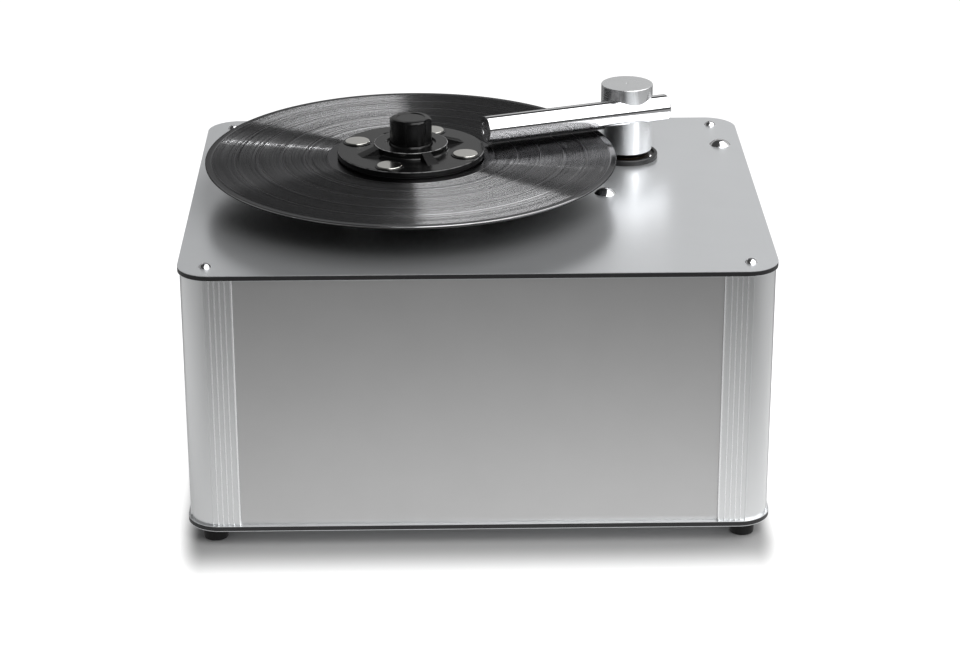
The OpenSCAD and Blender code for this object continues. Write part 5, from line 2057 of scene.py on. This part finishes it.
@dataclass(frozen=True)
class Sky:
    """The world: white to the camera, with a grey wall and a softbox in what metal sees.

    The numbers are parts of a unit direction: across to the right, back, and up.

    Attributes:
        ambient: Light from everywhere.
        wall: The wall's light on the left.
        middle_more: What it has more right of the middle.
        middle_at: Where that begins and ends to grow.
        right_more: What it has more on the far right.
        right_at: Where that begins and ends to grow.
        foot: Where the wall begins, going up.
        top: Where it ends.
        front_share: Share of its light that the wall keeps in front of the machine.
        front_at: Where that share begins and ends to grow, going back.
        mirrored: How far back the deck mirrors the camera.
        spared: Distances from there where the box begins.
        box: The box's light.
        box_left: Where the box begins on the left.
        box_slant: Slant of its right edge.
        box_right: Where it ends on the right.
        box_foot: Where it begins, going up.
    """

    ambient: float = 0.06
    wall: float = 0.38
    middle_more: float = 0.24
    middle_at: Point = (-0.12, 0.12)
    right_more: float = 0.1
    right_at: Point = (0.3, 0.8)
    foot: Point = (0.06, 0.24)
    top: Point = (0.46, 0.56)
    front_share: float = 0.3
    front_at: Point = (-0.5, 0.5)
    mirrored: float = 0.945
    spared: Point = (0.4, 0.5)
    box: float = 3.0
    box_left: Point = (0.02, 0.05)
    box_slant: float = 0.74
    box_right: Point = (0.91, 0.95)
    box_foot: Point = (0.4, 0.46)

    def build(self) -> None:
        """Makes the world."""
        world = bpy.data.worlds.new("studio_world")
        bpy.context.scene.world = world
        world.use_nodes = True
        graph = Graph(world.node_tree)
        across, back, up = graph.axis_values(graph.node("TexCoord", output="Generated"))
        light = self.grey_wall(across, back, up) + self.soft_box(across, back, up) + self.ambient
        glow = graph.node("LightPath").at_least(light)
        colour = graph.node("CombineXYZ", {}, {0: glow, 1: glow, 2: glow})
        sky = graph.node("Background", {}, {"Color": colour, "Strength": 1.0})
        graph.node("OutputWorld", {}, {"Surface": sky})

    def grey_wall(self, across: Value, back: Value, up: Value) -> Value:
        """The wall round the machine.

        Args:
            across: Direction's part to the right.
            back: Its part to the back.
            up: Its part upwards.

        Returns:
            The wall's light.
        """
        side = across.faded(*self.middle_at) * self.middle_more
        side = side + across.faded(*self.right_at) * self.right_more + self.wall
        tall = up.faded(*self.foot) * (1 - up.faded(*self.top)) * side
        return tall * (back.faded(*self.front_at) * (1 - self.front_share) + self.front_share)

    def soft_box(self, across: Value, back: Value, up: Value) -> Value:
        """The softbox behind the machine, whose reflections fan out on the record.

        Args:
            across: Direction's part to the right.
            back: Its part to the back.
            up: Its part upwards.

        Returns:
            The box's light.
        """
        behind = self.mirrored - back
        lean = (across * across + behind * behind) ** 0.5
        right = (across * self.box_slant + back).faded(*self.box_right)
        wide = across.faded(*self.box_left) * (1 - right)
        return wide * up.faded(*self.box_foot) * lean.faded(*self.spared) * self.box


@dataclass(frozen=True)
class PhotoCamera:
    """The camera, at the photograph's viewing angle.

    Attributes:
        at: Its place.
        pitch: How far it looks down, in degrees.
        yaw: How far it looks to the left, in degrees.
        roll: Its roll, in degrees.
        lens: Its focal length in millimetres.
        sensor: Its sensor's width in millimetres.
    """

    at: tuple[float, float, float] = (-0.02712, -1.9088, 0.88697)
    pitch: float = 22.48
    yaw: float = -0.92
    roll: float = -0.18
    lens: float = 102.46
    sensor: float = 36.0

    def build(self) -> None:
        """Places the camera."""
        pitch, yaw, roll = (math.radians(a) for a in (self.pitch, self.yaw, self.roll))
        level = Vector((-math.sin(yaw) * math.cos(pitch), math.cos(yaw) * math.cos(pitch), 0))
        ahead = level - Vector((0, 0, math.sin(pitch)))
        right = Vector((math.cos(yaw), math.sin(yaw), 0))
        over = right.cross(ahead)
        side = math.cos(roll) * right + math.sin(roll) * over
        top = math.cos(roll) * over - math.sin(roll) * right
        lens = bpy.data.cameras.new("photo_camera")
        lens.lens = self.lens
        lens.sensor_width = self.sensor
        camera = bpy.data.objects.new("photo_camera", lens)
        turn = Matrix((side, top, -ahead)).transposed().to_4x4()
        camera.matrix_world = Matrix.Translation(self.at) @ turn
        bpy.context.scene.collection.objects.link(camera)
        bpy.context.scene.camera = camera


@dataclass(frozen=True)
class Studio:
    """Lamps, floor, world and camera.

    Attributes:
        lamps: The lamps.
        floor: The floor.
        sky: The world.
        camera: The camera.
    """

    lamps: tuple[SoftBox, ...] = (
        SoftBox("front_top", (0.3, -1.4, 2.2), (0.0, 0.0, 0.1), 1.6, 1.2, 16.0),
        SoftBox("front_right", (1.5, -1.4, 1.0), (0.0, 0.0, 0.23), 0.6, 0.6, 4.0),
        SoftBox(
            "rear_strip", (0.534, 1.164, 0.738), (-0.18, 0.0, 0.234), 0.3, 0.036, 0.012, 33.0, 16.0
        ),
    )
    floor: Floor = Floor()
    sky: Sky = Sky()
    camera: PhotoCamera = PhotoCamera()

    def build(self) -> None:
        """Sets up the whole studio."""
        for part in (*self.lamps, self.floor, self.sky, self.camera):
            part.build()
        bpy.context.scene.view_settings.view_transform = "Standard"


def main() -> None:
    """Builds the machine and its studio."""
    logging.basicConfig(level=logging.INFO, format="%(message)s")
    for part in (
        Casing(), Turntable(), Clamp(), SuctionArm(), TankBolts(), RearFittings(), InnerWorks(),
        Studio(),
    ):
        LOG.info("building the %s", type(part).__name__)
        part.build()
    bpy.context.view_layer.update()


if __name__ == "__main__":
    main()
